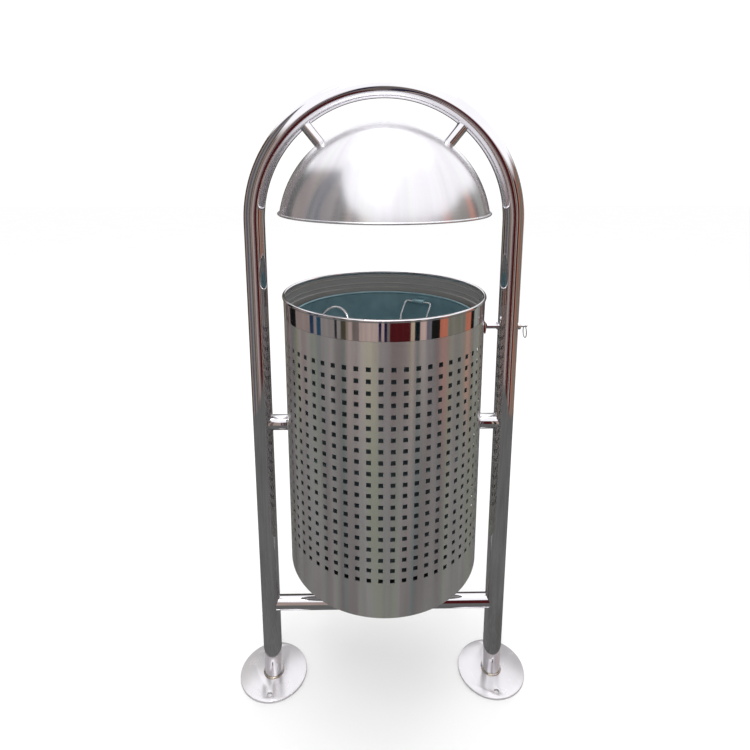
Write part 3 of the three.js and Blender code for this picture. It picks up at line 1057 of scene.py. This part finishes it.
@dataclass
class RainDome:
    """The spun dome, its beaded rim, its two hangers and the welds at their feet."""

    hoop: Hoop
    sheet: float = 0.0012
    bead_radius: float = 0.002
    steps: int = 160
    hanger_radius: float = 0.011
    hanger_angle: float = 39.0
    weld_radius: float = 0.0014
    rim_radius: float = field(init=False)
    rim_z: float = field(init=False)
    radius: float = field(init=False)
    centre_z: float = field(init=False)

    def __post_init__(self) -> None:
        """Works the dome's sphere out from its box."""
        low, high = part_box("rain_dome")
        self.rim_z = low.z + self.bead_radius
        self.rim_radius = high.x - 2 * self.bead_radius + self.sheet / 2
        height = high.z - self.rim_z
        self.radius = (self.rim_radius**2 + height**2) / (2 * height)
        self.centre_z = high.z - self.radius

    def skin(self) -> Workpiece:
        """The dome turned in one piece with its bead."""
        rim = math.degrees(math.asin((self.rim_z - self.centre_z) / self.radius))
        centre = (0.0, self.centre_z)
        bead = (self.rim_radius + self.bead_radius - self.sheet / 2, self.rim_z)
        outside = arc(centre, self.radius, 90, rim + 0.6, 44)
        inside = arc(centre, self.radius - self.sheet, rim, 90, 44)
        outline = [(0.0, outside[0][1]), *outside[1:], *arc(bead, self.bead_radius, 120, -180, 14)]
        outline += [*inside[:-1], (0.0, inside[-1][1])]
        return Workpiece.turned("dome_skin", outline, self.steps, closed=False).smooth(35)

    def hanger(self, side: Side) -> Workpiece:
        """A hanger on a radius of the hoop's bend, cut to fit the hoop and the dome."""
        angle = math.radians(self.hanger_angle) * side.value
        way = Vector((math.sin(angle), 0, math.cos(angle)))
        hub = Vector((0, 0, self.hoop.bend_z))
        inner, outer = hub + way * (self.radius - 0.02), hub + way * self.hoop.leg_x
        piece = Workpiece.bar(f"{side.word}_hanger", self.hanger_radius, inner, outer, 56)
        bpy.ops.mesh.primitive_uv_sphere_add(
            segments=128, ring_count=96, radius=self.radius + 0.0001, location=(0, 0, self.centre_z)
        )
        dome = Workpiece("dome_cutter").settle()
        bpy.ops.mesh.primitive_torus_add(
            major_segments=144,
            minor_segments=48,
            major_radius=self.hoop.leg_x,
            minor_radius=self.hoop.tube_radius + 0.0001,
            location=hub,
            rotation=(math.pi / 2, 0, 0),
        )
        bend = Workpiece("bend_cutter").settle()
        return piece.cut(dome, bend).smooth(35)

    def hanger_weld(self, side: Side) -> Workpiece:
        """The weld bead where a hanger stands on the dome."""
        angle = math.radians(self.hanger_angle) * side.value
        way = Vector((math.sin(angle), 0, math.cos(angle)))
        hub = Vector((0, 0, self.hoop.bend_z))
        fall = self.hoop.bend_z - self.centre_z
        reach = -fall * way.z + math.sqrt(self.radius**2 - (fall * way.x) ** 2)
        foot = hub + way * (reach - self.hanger_radius**2 / (2 * self.radius))
        ring = arc((self.hanger_radius + self.weld_radius * 0.4, 0.0003), self.weld_radius, 0, 330, 11)
        return Workpiece.turned(f"{side.word}_hanger_weld", ring, 64, foot, way).smooth(60)

    def build(self, finishes: Finishes) -> None:
        """Models and dresses the dome.

        Args:
            finishes: The bin's finishes.
        """
        finishes.dress(self.skin(), Slot.SPUN, Body.HOOP, ["rain_dome"])
        for side in Side:
            finishes.dress(self.hanger(side), Slot.POLISHED, Body.HOOP, [f"dome_hanger_{side.word}"])
            finishes.dress(self.hanger_weld(side), Slot.POLISHED, Body.HOOP, [])


@dataclass
class Barrel:
    """The perforated shell, the polished collar, the floor pan and the keeper."""

    sheet: float = 0.0012
    columns: int = 58
    rows: int = 20
    pitch: float = 0.020
    hole: float = 0.008
    bottom_row_z: float = 0.386
    hole_steps: int = 2
    web_steps: int = 3
    rim_bead: float = 0.003
    swage_depth: float = 0.0008
    swage_half: float = 0.0015
    swage_drops: tuple[float, float] = (0.0135, 0.027)
    collar_steps: int = 232
    drain_radius: float = 0.006
    drain_circle: float = 0.110
    drain_count: int = 4
    pivot_bore: float = 0.0073
    radius: float = field(init=False)
    bottom_z: float = field(init=False)
    shell_top: float = field(init=False)
    rim_top: float = field(init=False)

    def __post_init__(self) -> None:
        """Reads the barrel's size and place from the frame."""
        low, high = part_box("barrel_shell")
        self.radius = (high.x - low.x) / 2
        self.bottom_z, self.shell_top = low.z, high.z
        self.rim_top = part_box("barrel_collar")[1].z

    def perforated_shell(self) -> Workpiece:
        """The shell spun from an upright line, its hole faces taken out, then given its wall."""
        rows = [self.bottom_row_z + i * self.pitch for i in range(self.rows)]
        edges = [z + way * self.hole / 2 for z in rows for way in (-1, 1)]
        heights = [self.bottom_z, *edges, self.shell_top]
        steps = self.columns * (self.hole_steps + self.web_steps)
        column_turn = math.tau / self.columns
        half_hole = self.hole / 2 / self.radius
        start = -math.pi / 2 + column_turn / 2 - half_hole
        way = Vector((math.cos(start), math.sin(start), 0)) * self.radius
        piece = Workpiece.traced("perforated_shell", [way + Z_AXIS * z for z in heights], closed=False)

        def in_hole(centre: Vector, _normal: Vector) -> bool:
            """Whether a face lies where a hole goes."""
            turn = (math.atan2(centre.y, centre.x) - start) % column_turn
            row = (centre.z - rows[0] + self.hole / 2) % self.pitch
            return turn < 2 * half_hole and row < self.hole and rows[0] - self.hole < centre.z < edges[-1]

        with piece.editing("FACE"):
            bpy.ops.mesh.select_all(action="SELECT")
            piece.bend(math.tau, Vector((0, 0, 0)), Z_AXIS, steps)
            piece.merge()
            piece.face_outwards()
            bpy.ops.mesh.select_all(action="DESELECT")
            taken = piece.pick_faces(in_hole)
            bpy.ops.mesh.delete(type="FACE")
        log.info("%d hole faces taken out of the shell", taken)
        piece.wall(self.sheet)
        tilt = next(j for j in frame["joints"] if j["name"] == "barrel_tilt")
        through = Vector((self.radius + 0.01, 0, 0))
        pivot = Z_AXIS * tilt["pos_m"][2]
        piece.cut(Workpiece.bar("pivot_bore", self.pivot_bore, pivot - through, pivot + through, 56))
        return piece.smooth(30)

    def collar(self) -> Workpiece:
        """The polished collar: band, rolled rim, two swages and the tucked flange."""
        inner = self.radius - self.sheet
        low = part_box("barrel_collar")[0].z
        band = self.shell_top + 0.0003
        bead = (self.radius - self.sheet / 2, self.rim_top - self.rim_bead)
        swages: Outline = []
        for drop in self.swage_drops:
            z = self.rim_top - drop
            swell = [math.cos(math.pi * i / 6) for i in range(7)]
            swages += [
                (inner - self.swage_depth * math.sqrt(1 - s * s), z + s * self.swage_half) for s in swell
            ]
        tuck = inner - 0.0003
        outline = [(self.radius, band), *arc(bead, self.rim_bead, -70, 250, 22), *swages]
        outline += [(inner, band + self.sheet), (tuck - self.sheet, band), (tuck - self.sheet, low)]
        outline += [(tuck, low), (tuck, band)]
        return Workpiece.turned("polished_collar", outline, self.collar_steps).smooth(35)

    def floor_pan(self) -> Workpiece:
        """The floor pan with a lip turned down, a raised middle and drain holes."""
        low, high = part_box("barrel_floor")
        outer = (high.x - low.x) / 2
        thick, bend = 0.0015, 0.003
        top = arc((outer - bend, high.z - bend), bend, 90, 0, 6)
        under = arc((outer - bend, high.z - bend), bend - thick, 0, 90, 6)
        outline = [(0.0, high.z), *top, (outer, low.z), (outer - thick, low.z), *under, (0.0, high.z - thick)]
        piece = Workpiece.turned("floor_pan", outline, 128, closed=False)
        for i in range(self.drain_count):
            angle = math.tau * (i + 0.5) / self.drain_count
            spot = Vector((math.cos(angle), math.sin(angle), 0)) * self.drain_circle
            bottom, top_point = spot + Z_AXIS * (low.z - 0.01), spot + Z_AXIS * (high.z + 0.01)
            piece.cut(Workpiece.bar("drain_cutter", self.drain_radius, bottom, top_point, 32))
        return piece.smooth(30)

    def keeper(self) -> Workpiece:
        """The horned keeper, drawn in outline, pulled out to its width and bored."""
        low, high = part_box("latch_keeper")
        axis_z = middle("latch_bolt").z
        reach, rise, drop = high.x - low.x, high.z - axis_z, axis_z - low.z
        turns = [math.pi / 2 * i / 6 for i in range(7)]
        crown = [
            (low.x + reach * math.sin(t), axis_z + rise * (0.3 + 0.7 * math.cos(t))) for t in turns
        ]
        horn = [
            (high.x, axis_z - rise * 0.45),
            (high.x - reach * 0.12, axis_z - drop * 0.8),
            (high.x - reach * 0.34, axis_z - drop),
            (low.x + reach * 0.42, axis_z - drop * 0.78),
            (low.x + reach * 0.12, axis_z - rise * 0.66),
            (low.x, axis_z - rise * 0.6),
        ]
        points = [Vector((x, low.y, z)) for x, z in [*crown, *horn]]
        piece = Workpiece.traced("horned_keeper", points, closed=True)
        with piece.editing("EDGE"):
            bpy.ops.mesh.select_all(action="SELECT")
            bpy.ops.mesh.edge_face_add()
            piece.draw_out(Y_AXIS * (high.y - low.y))
            piece.face_outwards()
        start, end = Vector((low.x - 0.005, 0, axis_z)), Vector((high.x + 0.005, 0, axis_z))
        piece.cut(Workpiece.bar("keeper_bore", 0.0053, start, end, 48))
        return piece.ease_edges(0.0012, 4).smooth(35)

    def build(self, finishes: Finishes) -> None:
        """Models and dresses the barrel.

        Args:
            finishes: The bin's finishes.
        """
        finishes.dress(self.perforated_shell(), Slot.SATIN, Body.BARREL, ["barrel_shell"])
        finishes.dress(self.collar(), Slot.POLISHED, Body.BARREL, ["barrel_collar"], finishes.collar)
        finishes.dress(self.floor_pan(), Slot.SATIN, Body.BARREL, ["barrel_floor"], finishes.pan)
        finishes.dress(self.keeper(), Slot.POLISHED, Body.BARREL, ["latch_keeper"])
        finishes.dress_node("rear_seam_strip", Slot.SATIN)


@dataclass
class Pivots:
    """The pivot on each side: stub, plug, bolt, washer, bush and doubler pad."""

    hoop: Hoop
    stub_wall: float = 0.0015
    bolt_radius: float = 0.005
    bore_radius: float = 0.0053
    chamfer: float = 0.0004
    height: float = field(init=False)

    def __post_init__(self) -> None:
        """Reads the pivots' height from the barrel's joint."""
        tilt = next(j for j in frame["joints"] if j["name"] == "barrel_tilt")
        self.height = tilt["pos_m"][2]

    def ring(self, name: str, node: str, radius: float) -> Workpiece:
        """A chamfered ring round the pivot's axis, as long as a node.

        Args:
            name: The piece's name.
            node: The node whose place it takes.
            radius: Its outer radius.

        Returns:
            The ring.
        """
        low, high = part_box(node)
        c = self.chamfer
        outline = [
            (self.bore_radius, low.x),
            (radius - c, low.x),
            (radius, low.x + c),
            (radius, high.x - c),
            (radius - c, high.x),
            (self.bore_radius, high.x),
        ]
        return Workpiece.turned(name, outline, 56, Vector((0, 0, self.height)), X_AXIS).smooth(35)

    def stub(self, side: Side) -> Workpiece:
        """The stub tube, with one end cut to fit the leg."""
        low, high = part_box(f"pivot_stub_{side.word}")
        radius = (high.z - low.z) / 2
        near = low.x if side is Side.RIGHT else high.x
        ends = Vector((near, 0, self.height)), Vector((side.value * self.hoop.leg_x, 0, self.height))
        piece = Workpiece.bar(f"{side.word}_pivot_stub", radius, *ends, 72)
        mouth = ends[0] - X_AXIS * 0.01 * side.value
        bore = Workpiece.bar("stub_bore", radius - self.stub_wall, mouth, ends[1], 64)
        piece.cut(bore, self.hoop.leg(side))
        return piece.ease_edges(0.0003, 2, 60).smooth(35)

    def bush(self, side: Side) -> Workpiece:
        """The flanged nylon bush, with rounded flange edges."""
        low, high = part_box(f"pivot_bush_{side.word}")
        flange, shank = (high.z - low.z) / 2, 0.007
        inner, outer = (low.x, high.x) if side is Side.RIGHT else (high.x, low.x)
        step = math.copysign(0.0015, outer - inner)
        c = math.copysign(self.chamfer, outer - inner)
        outline = [
            (self.bore_radius, inner),
            (shank, inner),
            (shank, outer - step),
            (flange - self.chamfer, outer - step),
            (flange, outer - step + c),
            (flange, outer - c),
            (flange - self.chamfer, outer),
            (self.bore_radius, outer),
        ]
        name = f"{side.word}_pivot_bush"
        return Workpiece.turned(name, outline, 56, Vector((0, 0, self.height)), X_AXIS).smooth(35)

    def bolt(self, side: Side) -> Workpiece:
        """The pivot bolt: a hexagon head drawn out of the shank's end."""
        low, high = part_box(f"pivot_bolt_{side.word}")
        head_end, tip = (low.x, high.x) if side is Side.RIGHT else (high.x, low.x)
        head_height, across = 0.004, 0.016
        seat = head_end + side.value * head_height
        root, tip_point, crown, under = (
            Vector((x, 0, self.height)) for x in (seat - side.value * 0.001, tip, head_end, seat)
        )
        shank = Workpiece.bar(f"{side.word}_pivot_bolt", self.bolt_radius, root, tip_point, 48)
        head = Workpiece.bar("bolt_head", across / 2 / math.cos(math.pi / 6), crown, under, 6)
        shank.apply("BOOLEAN", operation="UNION", solver="EXACT", object=head.obj)
        bpy.data.objects.remove(head.obj)
        return shank.ease_edges(0.0005, 2).smooth(35)

    def build(self, finishes: Finishes) -> None:
        """Models and dresses both pivots.

        Args:
            finishes: The bin's finishes.
        """
        for side in Side:
            word = side.word
            washer = self.ring(f"{word}_pivot_washer", f"pivot_washer_{word}", 0.010)
            plug = self.ring(f"{word}_pivot_plug", f"pivot_plug_{word}", 0.0132)
            finishes.dress(self.stub(side), Slot.POLISHED, Body.HOOP, [f"pivot_stub_{word}"])
            finishes.dress(plug, Slot.WELD, Body.HOOP, [f"pivot_plug_{word}"])
            finishes.dress(self.bolt(side), Slot.WIRE, Body.HOOP, [f"pivot_bolt_{word}"])
            finishes.dress(washer, Slot.WIRE, Body.HOOP, [f"pivot_washer_{word}"])
            finishes.dress(self.bush(side), Slot.NYLON, Body.BARREL, [f"pivot_bush_{word}"])
            finishes.dress_node(f"pivot_pad_{word}", Slot.SATIN)


@dataclass
class Bail:
    """One D-shaped wire bail and the strap that holds it to the liner's wall."""

    body: Body
    lean: float
    wire: float = 0.002
    width: float = 0.0585
    reach: float = 0.061
    corner: float = 0.006
    strap_edge: float = 0.0007

    def hinge_place(self) -> Matrix:
        """The hinge's place, with X away from the liner's axis and Y along the hinge."""
        joint = next(j for j in frame["joints"] if j["child"] == self.body.value)
        hinge = Vector(joint["pos_m"])
        return Matrix.Translation(hinge) @ Matrix.Rotation(math.atan2(hinge.y, hinge.x), 4, "Z")

    def loop(self) -> Workpiece:
        """Bends the wire round, from the middle of the hinge side back to it."""
        half = self.width / 2
        name = f"{self.body.value}_wire"
        piece = Workpiece.loop(name, self.wire, Vector((0, 0, 0)), Y_AXIS, 20, filled=False)
        leg = self.reach - half - self.corner
        turns = [
            (half - self.corner, Vector((0, half - self.corner, self.corner)), 8),
            (leg, Vector((0, 0, self.reach - half)), 28),
            (0.0, Vector((0, 0, self.reach - half)), 28),
            (leg, Vector((0, self.corner - half, self.corner)), 8),
        ]
        heading = Y_AXIS.copy()
        with piece.editing():
            bpy.ops.mesh.select_all(action="SELECT")
            for run, centre, steps in turns:
                if run:
                    piece.draw_out(heading * run)
                piece.bend(math.pi / 2, centre, X_AXIS, steps)
                heading = Matrix.Rotation(math.pi / 2, 3, "X") @ heading
            piece.draw_out(heading * (half - self.corner))
            piece.merge()
            piece.face_outwards()
        return piece

    def strap(self) -> Workpiece:
        """The folded strap: drawn from the side, pulled out to its width and bored."""
        width, nose, bore = 0.026, 0.0045, 0.0023
        wall = 0.0118
        side = [(wall, nose), (0.0, nose), *arc((0.0, 0.0), nose, 101, 259, 14), (0.0, -nose), (wall, -nose)]
        points = [Vector((x, -width / 2, z)) for x, z in side]
        piece = Workpiece.traced(f"{self.body.value}_strap_fold", points, closed=True)
        with piece.editing("EDGE"):
            bpy.ops.mesh.select_all(action="SELECT")
            bpy.ops.mesh.edge_face_add()
            piece.draw_out(Y_AXIS * width)
            piece.face_outwards()
        ends = Vector((0, -width, 0)), Vector((0, width, 0))
        piece.cut(Workpiece.bar("strap_bore", bore, *ends, 32))
        return piece.ease_edges(self.strap_edge, 2, 50)

    def build(self, finishes: Finishes) -> None:
        """Models the bail, leans it, carries it to its hinge and dresses it.

        Args:
            finishes: The bin's finishes.
        """
        place = self.hinge_place()
        wire = self.loop().put(place @ Matrix.Rotation(-math.radians(self.lean), 4, "Y")).smooth(45)
        strap = self.strap().put(place).smooth(40)
        finishes.dress(wire, Slot.WIRE, self.body, [self.body.value])
        finishes.dress(strap, Slot.GALVANISED, Body.LINER, [f"{self.body.value}_strap"])


@dataclass
class Liner:
    """The galvanised liner, its rolled rim and pressed rings, and its two bails."""

    sheet: float = 0.0008
    bead: float = 0.0025
    ring_depth: float = 0.0012
    ring_half: float = 0.004
    ring_drops: tuple[float, ...] = (0.235, 0.440)
    bottom_bend: float = 0.006
    steps: int = 160
    bails: tuple[Bail, Bail] = (
        Bail(Body.FRONT_BAIL, 23.2),
        Bail(Body.REAR_BAIL, 136.8),
    )

    def skin(self) -> Workpiece:
        """The liner turned in one piece: base, wall with pressed rings, and rolled rim."""
        low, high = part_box("liner")
        rim = (high.x - low.x) / 2
        outer = rim - self.bead + self.sheet / 2
        bead = (outer - self.sheet / 2, high.z - self.bead)

        def wall(radius: float, down: bool) -> Outline:
            """The wall's line at a radius, dented at each pressed ring."""
            points: Outline = []
            for drop in self.ring_drops:
                z = high.z - drop
                for i in range(9):
                    t = math.pi * i / 8
                    dent = self.ring_depth * math.sin(t) ** 2
                    points.append((radius - dent, z + math.cos(t) * self.ring_half))
            return points if down else points[::-1]

        bend = self.bottom_bend
        inner = outer - self.sheet
        corner = (outer - bend, low.z + bend)
        outline = [(0.0, low.z), *arc(corner, bend, -90, 0, 8), *wall(outer, down=False)]
        outline += [*arc(bead, self.bead, -75, 255, 20), *wall(inner, down=True)]
        outline += [*arc(corner, bend - self.sheet, 0, -90, 8), (0.0, low.z + self.sheet)]
        return Workpiece.turned("liner_skin", outline, self.steps, closed=False).smooth(40)

    def build(self, finishes: Finishes) -> None:
        """Models and dresses the liner and its bails.

        Args:
            finishes: The bin's finishes.
        """
        finishes.dress(self.skin(), Slot.GALVANISED, Body.LINER, ["liner"])
        for bail in self.bails:
            bail.build(finishes)


@dataclass
class Latch:
    """The hand latch: sleeve and cap in the right leg, sliding bolt and split ring."""

    bolt_radius: float = 0.005
    tail_radius: float = 0.0025
    chamfer: float = 0.001
    sleeve_radius: float = 0.007
    ring_hole: float = 0.0017
    ring_wire: float = 0.00058

    def axis_point(self) -> Vector:
        """A point on the latch's axis."""
        return Vector((0, 0, middle("latch_sleeve").z))

    def bolt(self) -> Workpiece:
        """The bolt and its thinner tail, with the cross hole for the ring."""
        low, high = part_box("latch_bolt")
        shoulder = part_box("latch_sleeve")[1].x - 0.010
        c, r, t = self.chamfer, self.bolt_radius, self.tail_radius
        outline = [
            (0.0, low.x),
            (r - c, low.x),
            (r, low.x + c),
            (r, shoulder - c / 2),
            (r - c / 2, shoulder),
            (t, shoulder),
            (t, high.x - c),
            (t - c, high.x),
            (0.0, high.x),
        ]
        piece = Workpiece.turned("sliding_bolt", outline, 56, self.axis_point(), X_AXIS, closed=False)
        eye = Vector((self.ring_x(), 0, self.axis_point().z))
        hole = Workpiece.bar("ring_hole", self.ring_hole, eye - Y_AXIS * 0.01, eye + Y_AXIS * 0.01, 32)
        return piece.cut(hole).smooth(35)

    def ring_x(self) -> float:
        """Where the ring hangs along the bolt's tail."""
        return middle("pull_ring").x

    def sleeve(self) -> Workpiece:
        """The sleeve through the leg, chamfered at one end."""
        low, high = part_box("latch_sleeve")
        r, c, bore = self.sleeve_radius, self.chamfer / 2, self.bolt_radius + 0.0003
        outline = [(bore, low.x), (r - c, low.x), (r, low.x + c), (r, high.x), (bore, high.x)]
        return Workpiece.turned("bolt_sleeve", outline, 56, self.axis_point(), X_AXIS).smooth(35)

    def cap(self) -> Workpiece:
        """The sleeve's outer cap, its outer edge rounded."""
        low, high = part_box("latch_end_cap")
        r, bore, c = self.sleeve_radius, self.tail_radius + 0.0003, 0.0012
        outline = [(bore, low.x), (r, low.x), *arc((r - c, high.x - c), c, 0, 90, 6), (bore, high.x)]
        return Workpiece.turned("sleeve_cap", outline, 56, self.axis_point(), X_AXIS).smooth(35)

    def ring(self) -> Workpiece:
        """The split ring: a wire wound twice round, each turn beside the other."""
        low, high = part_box("pull_ring")
        centre = (low + high) / 2
        radius = (high.z - low.z) / 2 - self.ring_wire - 0.0005
        start = Vector((centre.x - self.ring_wire * 0.9, 0, centre.z + radius))
        piece = Workpiece.loop("split_ring", self.ring_wire, start, Y_AXIS, 12, filled=True)
        piece.obj.data.transform(Matrix.Translation(-centre))
        turn = piece.obj.modifiers.new("Winding", "SCREW")
        turn.axis = "X"
        turn.angle = 2 * math.tau - 0.35
        turn.screw_offset = self.ring_wire * 1.9
        turn.iterations = 1
        turn.steps = turn.render_steps = 144
        turn.use_merge_vertices = False
        select_only(piece.obj)
        bpy.ops.object.modifier_apply(modifier=turn.name)
        piece.put(Matrix.Translation(centre))
        with piece.editing():
            piece.merge(1e-7)
            piece.face_outwards()
        return piece.smooth(60)

    def build(self, finishes: Finishes) -> None:
        """Models and dresses the latch.

        Args:
            finishes: The bin's finishes.
        """
        finishes.dress(self.sleeve(), Slot.POLISHED, Body.HOOP, ["latch_sleeve"])
        finishes.dress(self.cap(), Slot.POLISHED, Body.HOOP, ["latch_end_cap"])
        finishes.dress(self.bolt(), Slot.POLISHED, Body.LATCH, ["latch_bolt"])
        finishes.dress(self.ring(), Slot.WIRE, Body.RING, ["pull_ring"], finishes.split_ring)


# ------------------------------------------------------------------ studio


@dataclass(frozen=True)
class Stripe:
    """One upright stripe of the surroundings, from a bearing up to the next stripe.

    Bearings are degrees from straight in front, positive to the latch side.
    """

    bearing: float
    colour: tuple[float, float, float]


@dataclass
class Surroundings:
    """What the polished steel reflects: paving, a ring of upright things, and sky over them."""

    radius: float = 1.5
    height: float = 5.0
    soft_edge: float = 0.10
    sky: float = 1.25
    stripes: tuple[Stripe, ...] = (
        Stripe(-180, (0.10, 0.09, 0.08)),
        Stripe(-150, (0.30, 0.27, 0.22)),
        Stripe(-128, (0.01, 0.01, 0.01)),
        Stripe(-112, (0.30, 0.24, 0.22)),
        Stripe(-87, (0.02, 0.05, 0.10)),
        Stripe(-81, (0.32, 0.27, 0.26)),
        Stripe(-76, (0.02, 0.07, 0.12)),
        Stripe(-71, (0.30, 0.27, 0.26)),
        Stripe(-54, (0.02, 0.02, 0.02)),
        Stripe(-52, (0.27, 0.25, 0.24)),
        Stripe(-47, (0.07, 0.06, 0.04)),
        Stripe(-42, (0.27, 0.23, 0.19)),
        Stripe(-39, (0.46, 0.35, 0.32)),
        Stripe(-34, (0.17, 0.14, 0.13)),
        Stripe(-28, (0.50, 0.39, 0.35)),
        Stripe(-8, (0.01, 0.01, 0.06)),
        Stripe(-5, (0.50, 0.39, 0.35)),
        Stripe(-2, (0.01, 0.01, 0.05)),
        Stripe(1, (0.20, 0.17, 0.16)),
        Stripe(4, (0.09, 0.012, 0.014)),
        Stripe(24, (0.54, 0.42, 0.31)),
        Stripe(29, (0.005, 0.012, 0.016)),
        Stripe(34, (0.57, 0.42, 0.37)),
        Stripe(41, (0.19, 0.18, 0.21)),
        Stripe(47, (0.012, 0.012, 0.01)),
        Stripe(57, (0.58, 0.19, 0.12)),
        Stripe(67, (0.23, 0.22, 0.18)),
        Stripe(94, (0.60, 0.21, 0.13)),
        Stripe(104, (0.01, 0.01, 0.01)),
        Stripe(110, (0.34, 0.36, 0.33)),
        Stripe(134, (0.10, 0.08, 0.08)),
    )
    tops: tuple[tuple[float, float], ...] = (
        (-180, 1.15),
        (-120, 1.9),
        (-75, 3.0),
        (-40, 1.7),
        (-15, 1.25),
        (25, 1.25),
        (55, 1.3),
        (90, 1.6),
        (130, 1.4),
        (179, 1.15),
    )

    def glow(self, sheet: NodeSheet, colour: bpy.types.NodeSocket) -> bpy.types.Material:
        """Makes a sheet give its colour off evenly, with no shine.

        Args:
            sheet: The sheet.
            colour: Its colour.

        Returns:
            The sheet's material.
        """
        sheet.shader.inputs["Base Color"].default_value = (0, 0, 0, 1)
        sheet.shader.inputs["Specular IOR Level"].default_value = 0.0
        sheet.shader.inputs["Emission Strength"].default_value = 1.0
        sheet.feed(sheet.shader, "Emission Color", colour)
        return sheet.material

    def ring_material(self) -> bpy.types.Material:
        """Stripes by bearing, up to a skyline, with bright sky over it."""
        sheet = NodeSheet("surroundings")
        around = sheet.around(Z_AXIS, Vector((0, 0, 0)))
        parts = sheet.parts(around)
        share = sheet.sum("ADD", sheet.sum("DIVIDE", parts["X"], math.tau), 0.5)
        stops = [((s.bearing + 180) / 360, s.colour) for s in self.stripes]
        stripes = sheet.ramp(share, stops, "CONSTANT")
        patches = sheet.noise(sheet.stretch(sheet.place(), Vector((6, 6, 2))), 1.5, 3.0)
        worn = sheet.tint(stripes, (0.5, 0.5, 0.5, 1), sheet.span(patches, 0.3, 0.7, 0.0, 0.55), "MULTIPLY")
        skyline = sheet.ramp(share, [((b + 180) / 360, (t / self.height,) * 3) for b, t in self.tops])
        rise = sheet.sum("SUBTRACT", parts["Z"], sheet.sum("MULTIPLY", skyline, self.height))
        over = sheet.span(rise, -self.soft_edge, self.soft_edge, 0.0, 1.0)
        return self.glow(sheet, sheet.tint(worn, (self.sky, self.sky, self.sky * 1.02, 1), over))

    def paving_material(self) -> bpy.types.Material:
        """Dark mottled paving."""
        sheet = NodeSheet("paving")
        place = sheet.place()
        grit = sheet.noise(place, 60.0, 6.0)
        patches = sheet.noise(place, 4.0, 3.0)
        colour = sheet.ramp(grit, [(0.3, (0.13, 0.13, 0.127)), (0.7, (0.19, 0.19, 0.187))])
        colour = sheet.tint(colour, (0.6, 0.58, 0.56, 1), sheet.span(patches, 0.4, 0.7, 0.0, 0.6), "MULTIPLY")
        return self.glow(sheet, colour)

    def show_in_reflections_only(self, piece: Workpiece, material: bpy.types.Material) -> None:
        """Gives a stage piece its material and hides it from everything but reflections."""
        piece.obj.data.materials.append(material)
        for way in ("camera", "diffuse", "shadow", "transmission", "volume_scatter"):
            setattr(piece.obj, f"visible_{way}", False)

    def build(self) -> None:
        """Puts the paving and the ring in place."""
        foot = Vector((0, 0, 0.0005))
        paving = Workpiece.loop("paving", self.radius, foot, Z_AXIS, 96, filled=True)
        self.show_in_reflections_only(paving, self.paving_material())
        ring = Workpiece.loop("surroundings", self.radius, foot, Z_AXIS, 96, filled=False)
        with ring.editing():
            bpy.ops.mesh.select_all(action="SELECT")
            ring.draw_out(Z_AXIS * self.height)
        self.show_in_reflections_only(ring, self.ring_material())


@dataclass
class Studio:
    """Pale floor, soft lights, the surroundings to reflect, and the camera."""

    surroundings: Surroundings = field(default_factory=Surroundings)
    floor_half: float = 12.0
    lens: float = 26.01
    camera_place: tuple[float, float, float] = (-0.0313, -0.9804, 1.0880)
    camera_pitch: float = -11.407
    camera_yaw: float = -0.853
    camera_shift: float = -0.1418

    def camera(self) -> None:
        """Sets up the camera."""
        data = bpy.data.cameras.new("camera")
        data.lens = self.lens
        data.shift_y = self.camera_shift
        eye = bpy.data.objects.new("camera", data)
        eye.location = self.camera_place
        eye.rotation_euler = (math.radians(90 + self.camera_pitch), 0, math.radians(self.camera_yaw))
        bpy.context.scene.collection.objects.link(eye)
        bpy.context.scene.camera = eye

    def floor(self) -> None:
        """The pale floor."""
        bpy.ops.mesh.primitive_plane_add(size=2 * self.floor_half, location=(0, 0, 0))
        plane = Workpiece("floor").settle()
        sheet = NodeSheet("pale floor")
        mottle = sheet.noise(sheet.place(), 3.0, 3.0)
        pale = sheet.tint((0.96, 0.96, 0.96, 1), (0.93, 0.93, 0.93, 1), mottle)
        sheet.feed(sheet.shader, "Base Color", pale)
        sheet.shader.inputs["Roughness"].default_value = 0.8
        sheet.shader.inputs["Specular IOR Level"].default_value = 0.0
        plane.obj.data.materials.append(sheet.material)

    def light(self, name: str, place: Sequence[float], size: float, power: float) -> None:
        """A square soft light aimed at the bin's middle.

        Args:
            name: Its name.
            place: Where it hangs.
            size: Its side.
            power: Its power in watts.
        """
        data = bpy.data.lights.new(name, "AREA")
        data.size = size
        data.energy = power
        lamp = bpy.data.objects.new(name, data)
        lamp.location = place
        lamp.rotation_euler = (Vector((0, 0, 0.7)) - Vector(place)).to_track_quat("-Z", "Y").to_euler()
        bpy.context.scene.collection.objects.link(lamp)

    def sky(self) -> None:
        """An even white surround."""
        world = bpy.data.worlds.new("white surround")
        world.use_nodes = True
        back = world.node_tree.nodes["Background"]
        back.inputs["Color"].default_value = (1.0, 1.0, 1.0, 1)
        back.inputs["Strength"].default_value = 1.05
        bpy.context.scene.world = world

    def build(self) -> None:
        """Sets the whole stage."""
        self.camera()
        self.sky()
        self.floor()
        self.surroundings.build()
        self.light("front light", (-0.25, -1.35, 2.9), 0.9, 14)
        self.light("top light", (0.2, 0.3, 3.2), 2.0, 16)
        bpy.context.scene.view_settings.view_transform = "Standard"


def main() -> None:
    """Builds the bin piece by piece, then the stage."""
    logging.basicConfig(level=logging.INFO, format="%(name)s: %(message)s")
    select_only(next(iter(frame["nodes"].values())))
    bpy.ops.object.select_all(action="DESELECT")
    finishes = Finishes()
    studio = Studio()
    hoop = Hoop()
    hoop.build(finishes)
    RainDome(hoop).build(finishes)
    Barrel().build(finishes)
    Pivots(hoop).build(finishes)
    Liner().build(finishes)
    Latch().build(finishes)
    studio.build()


if __name__ == "__main__":
    main()
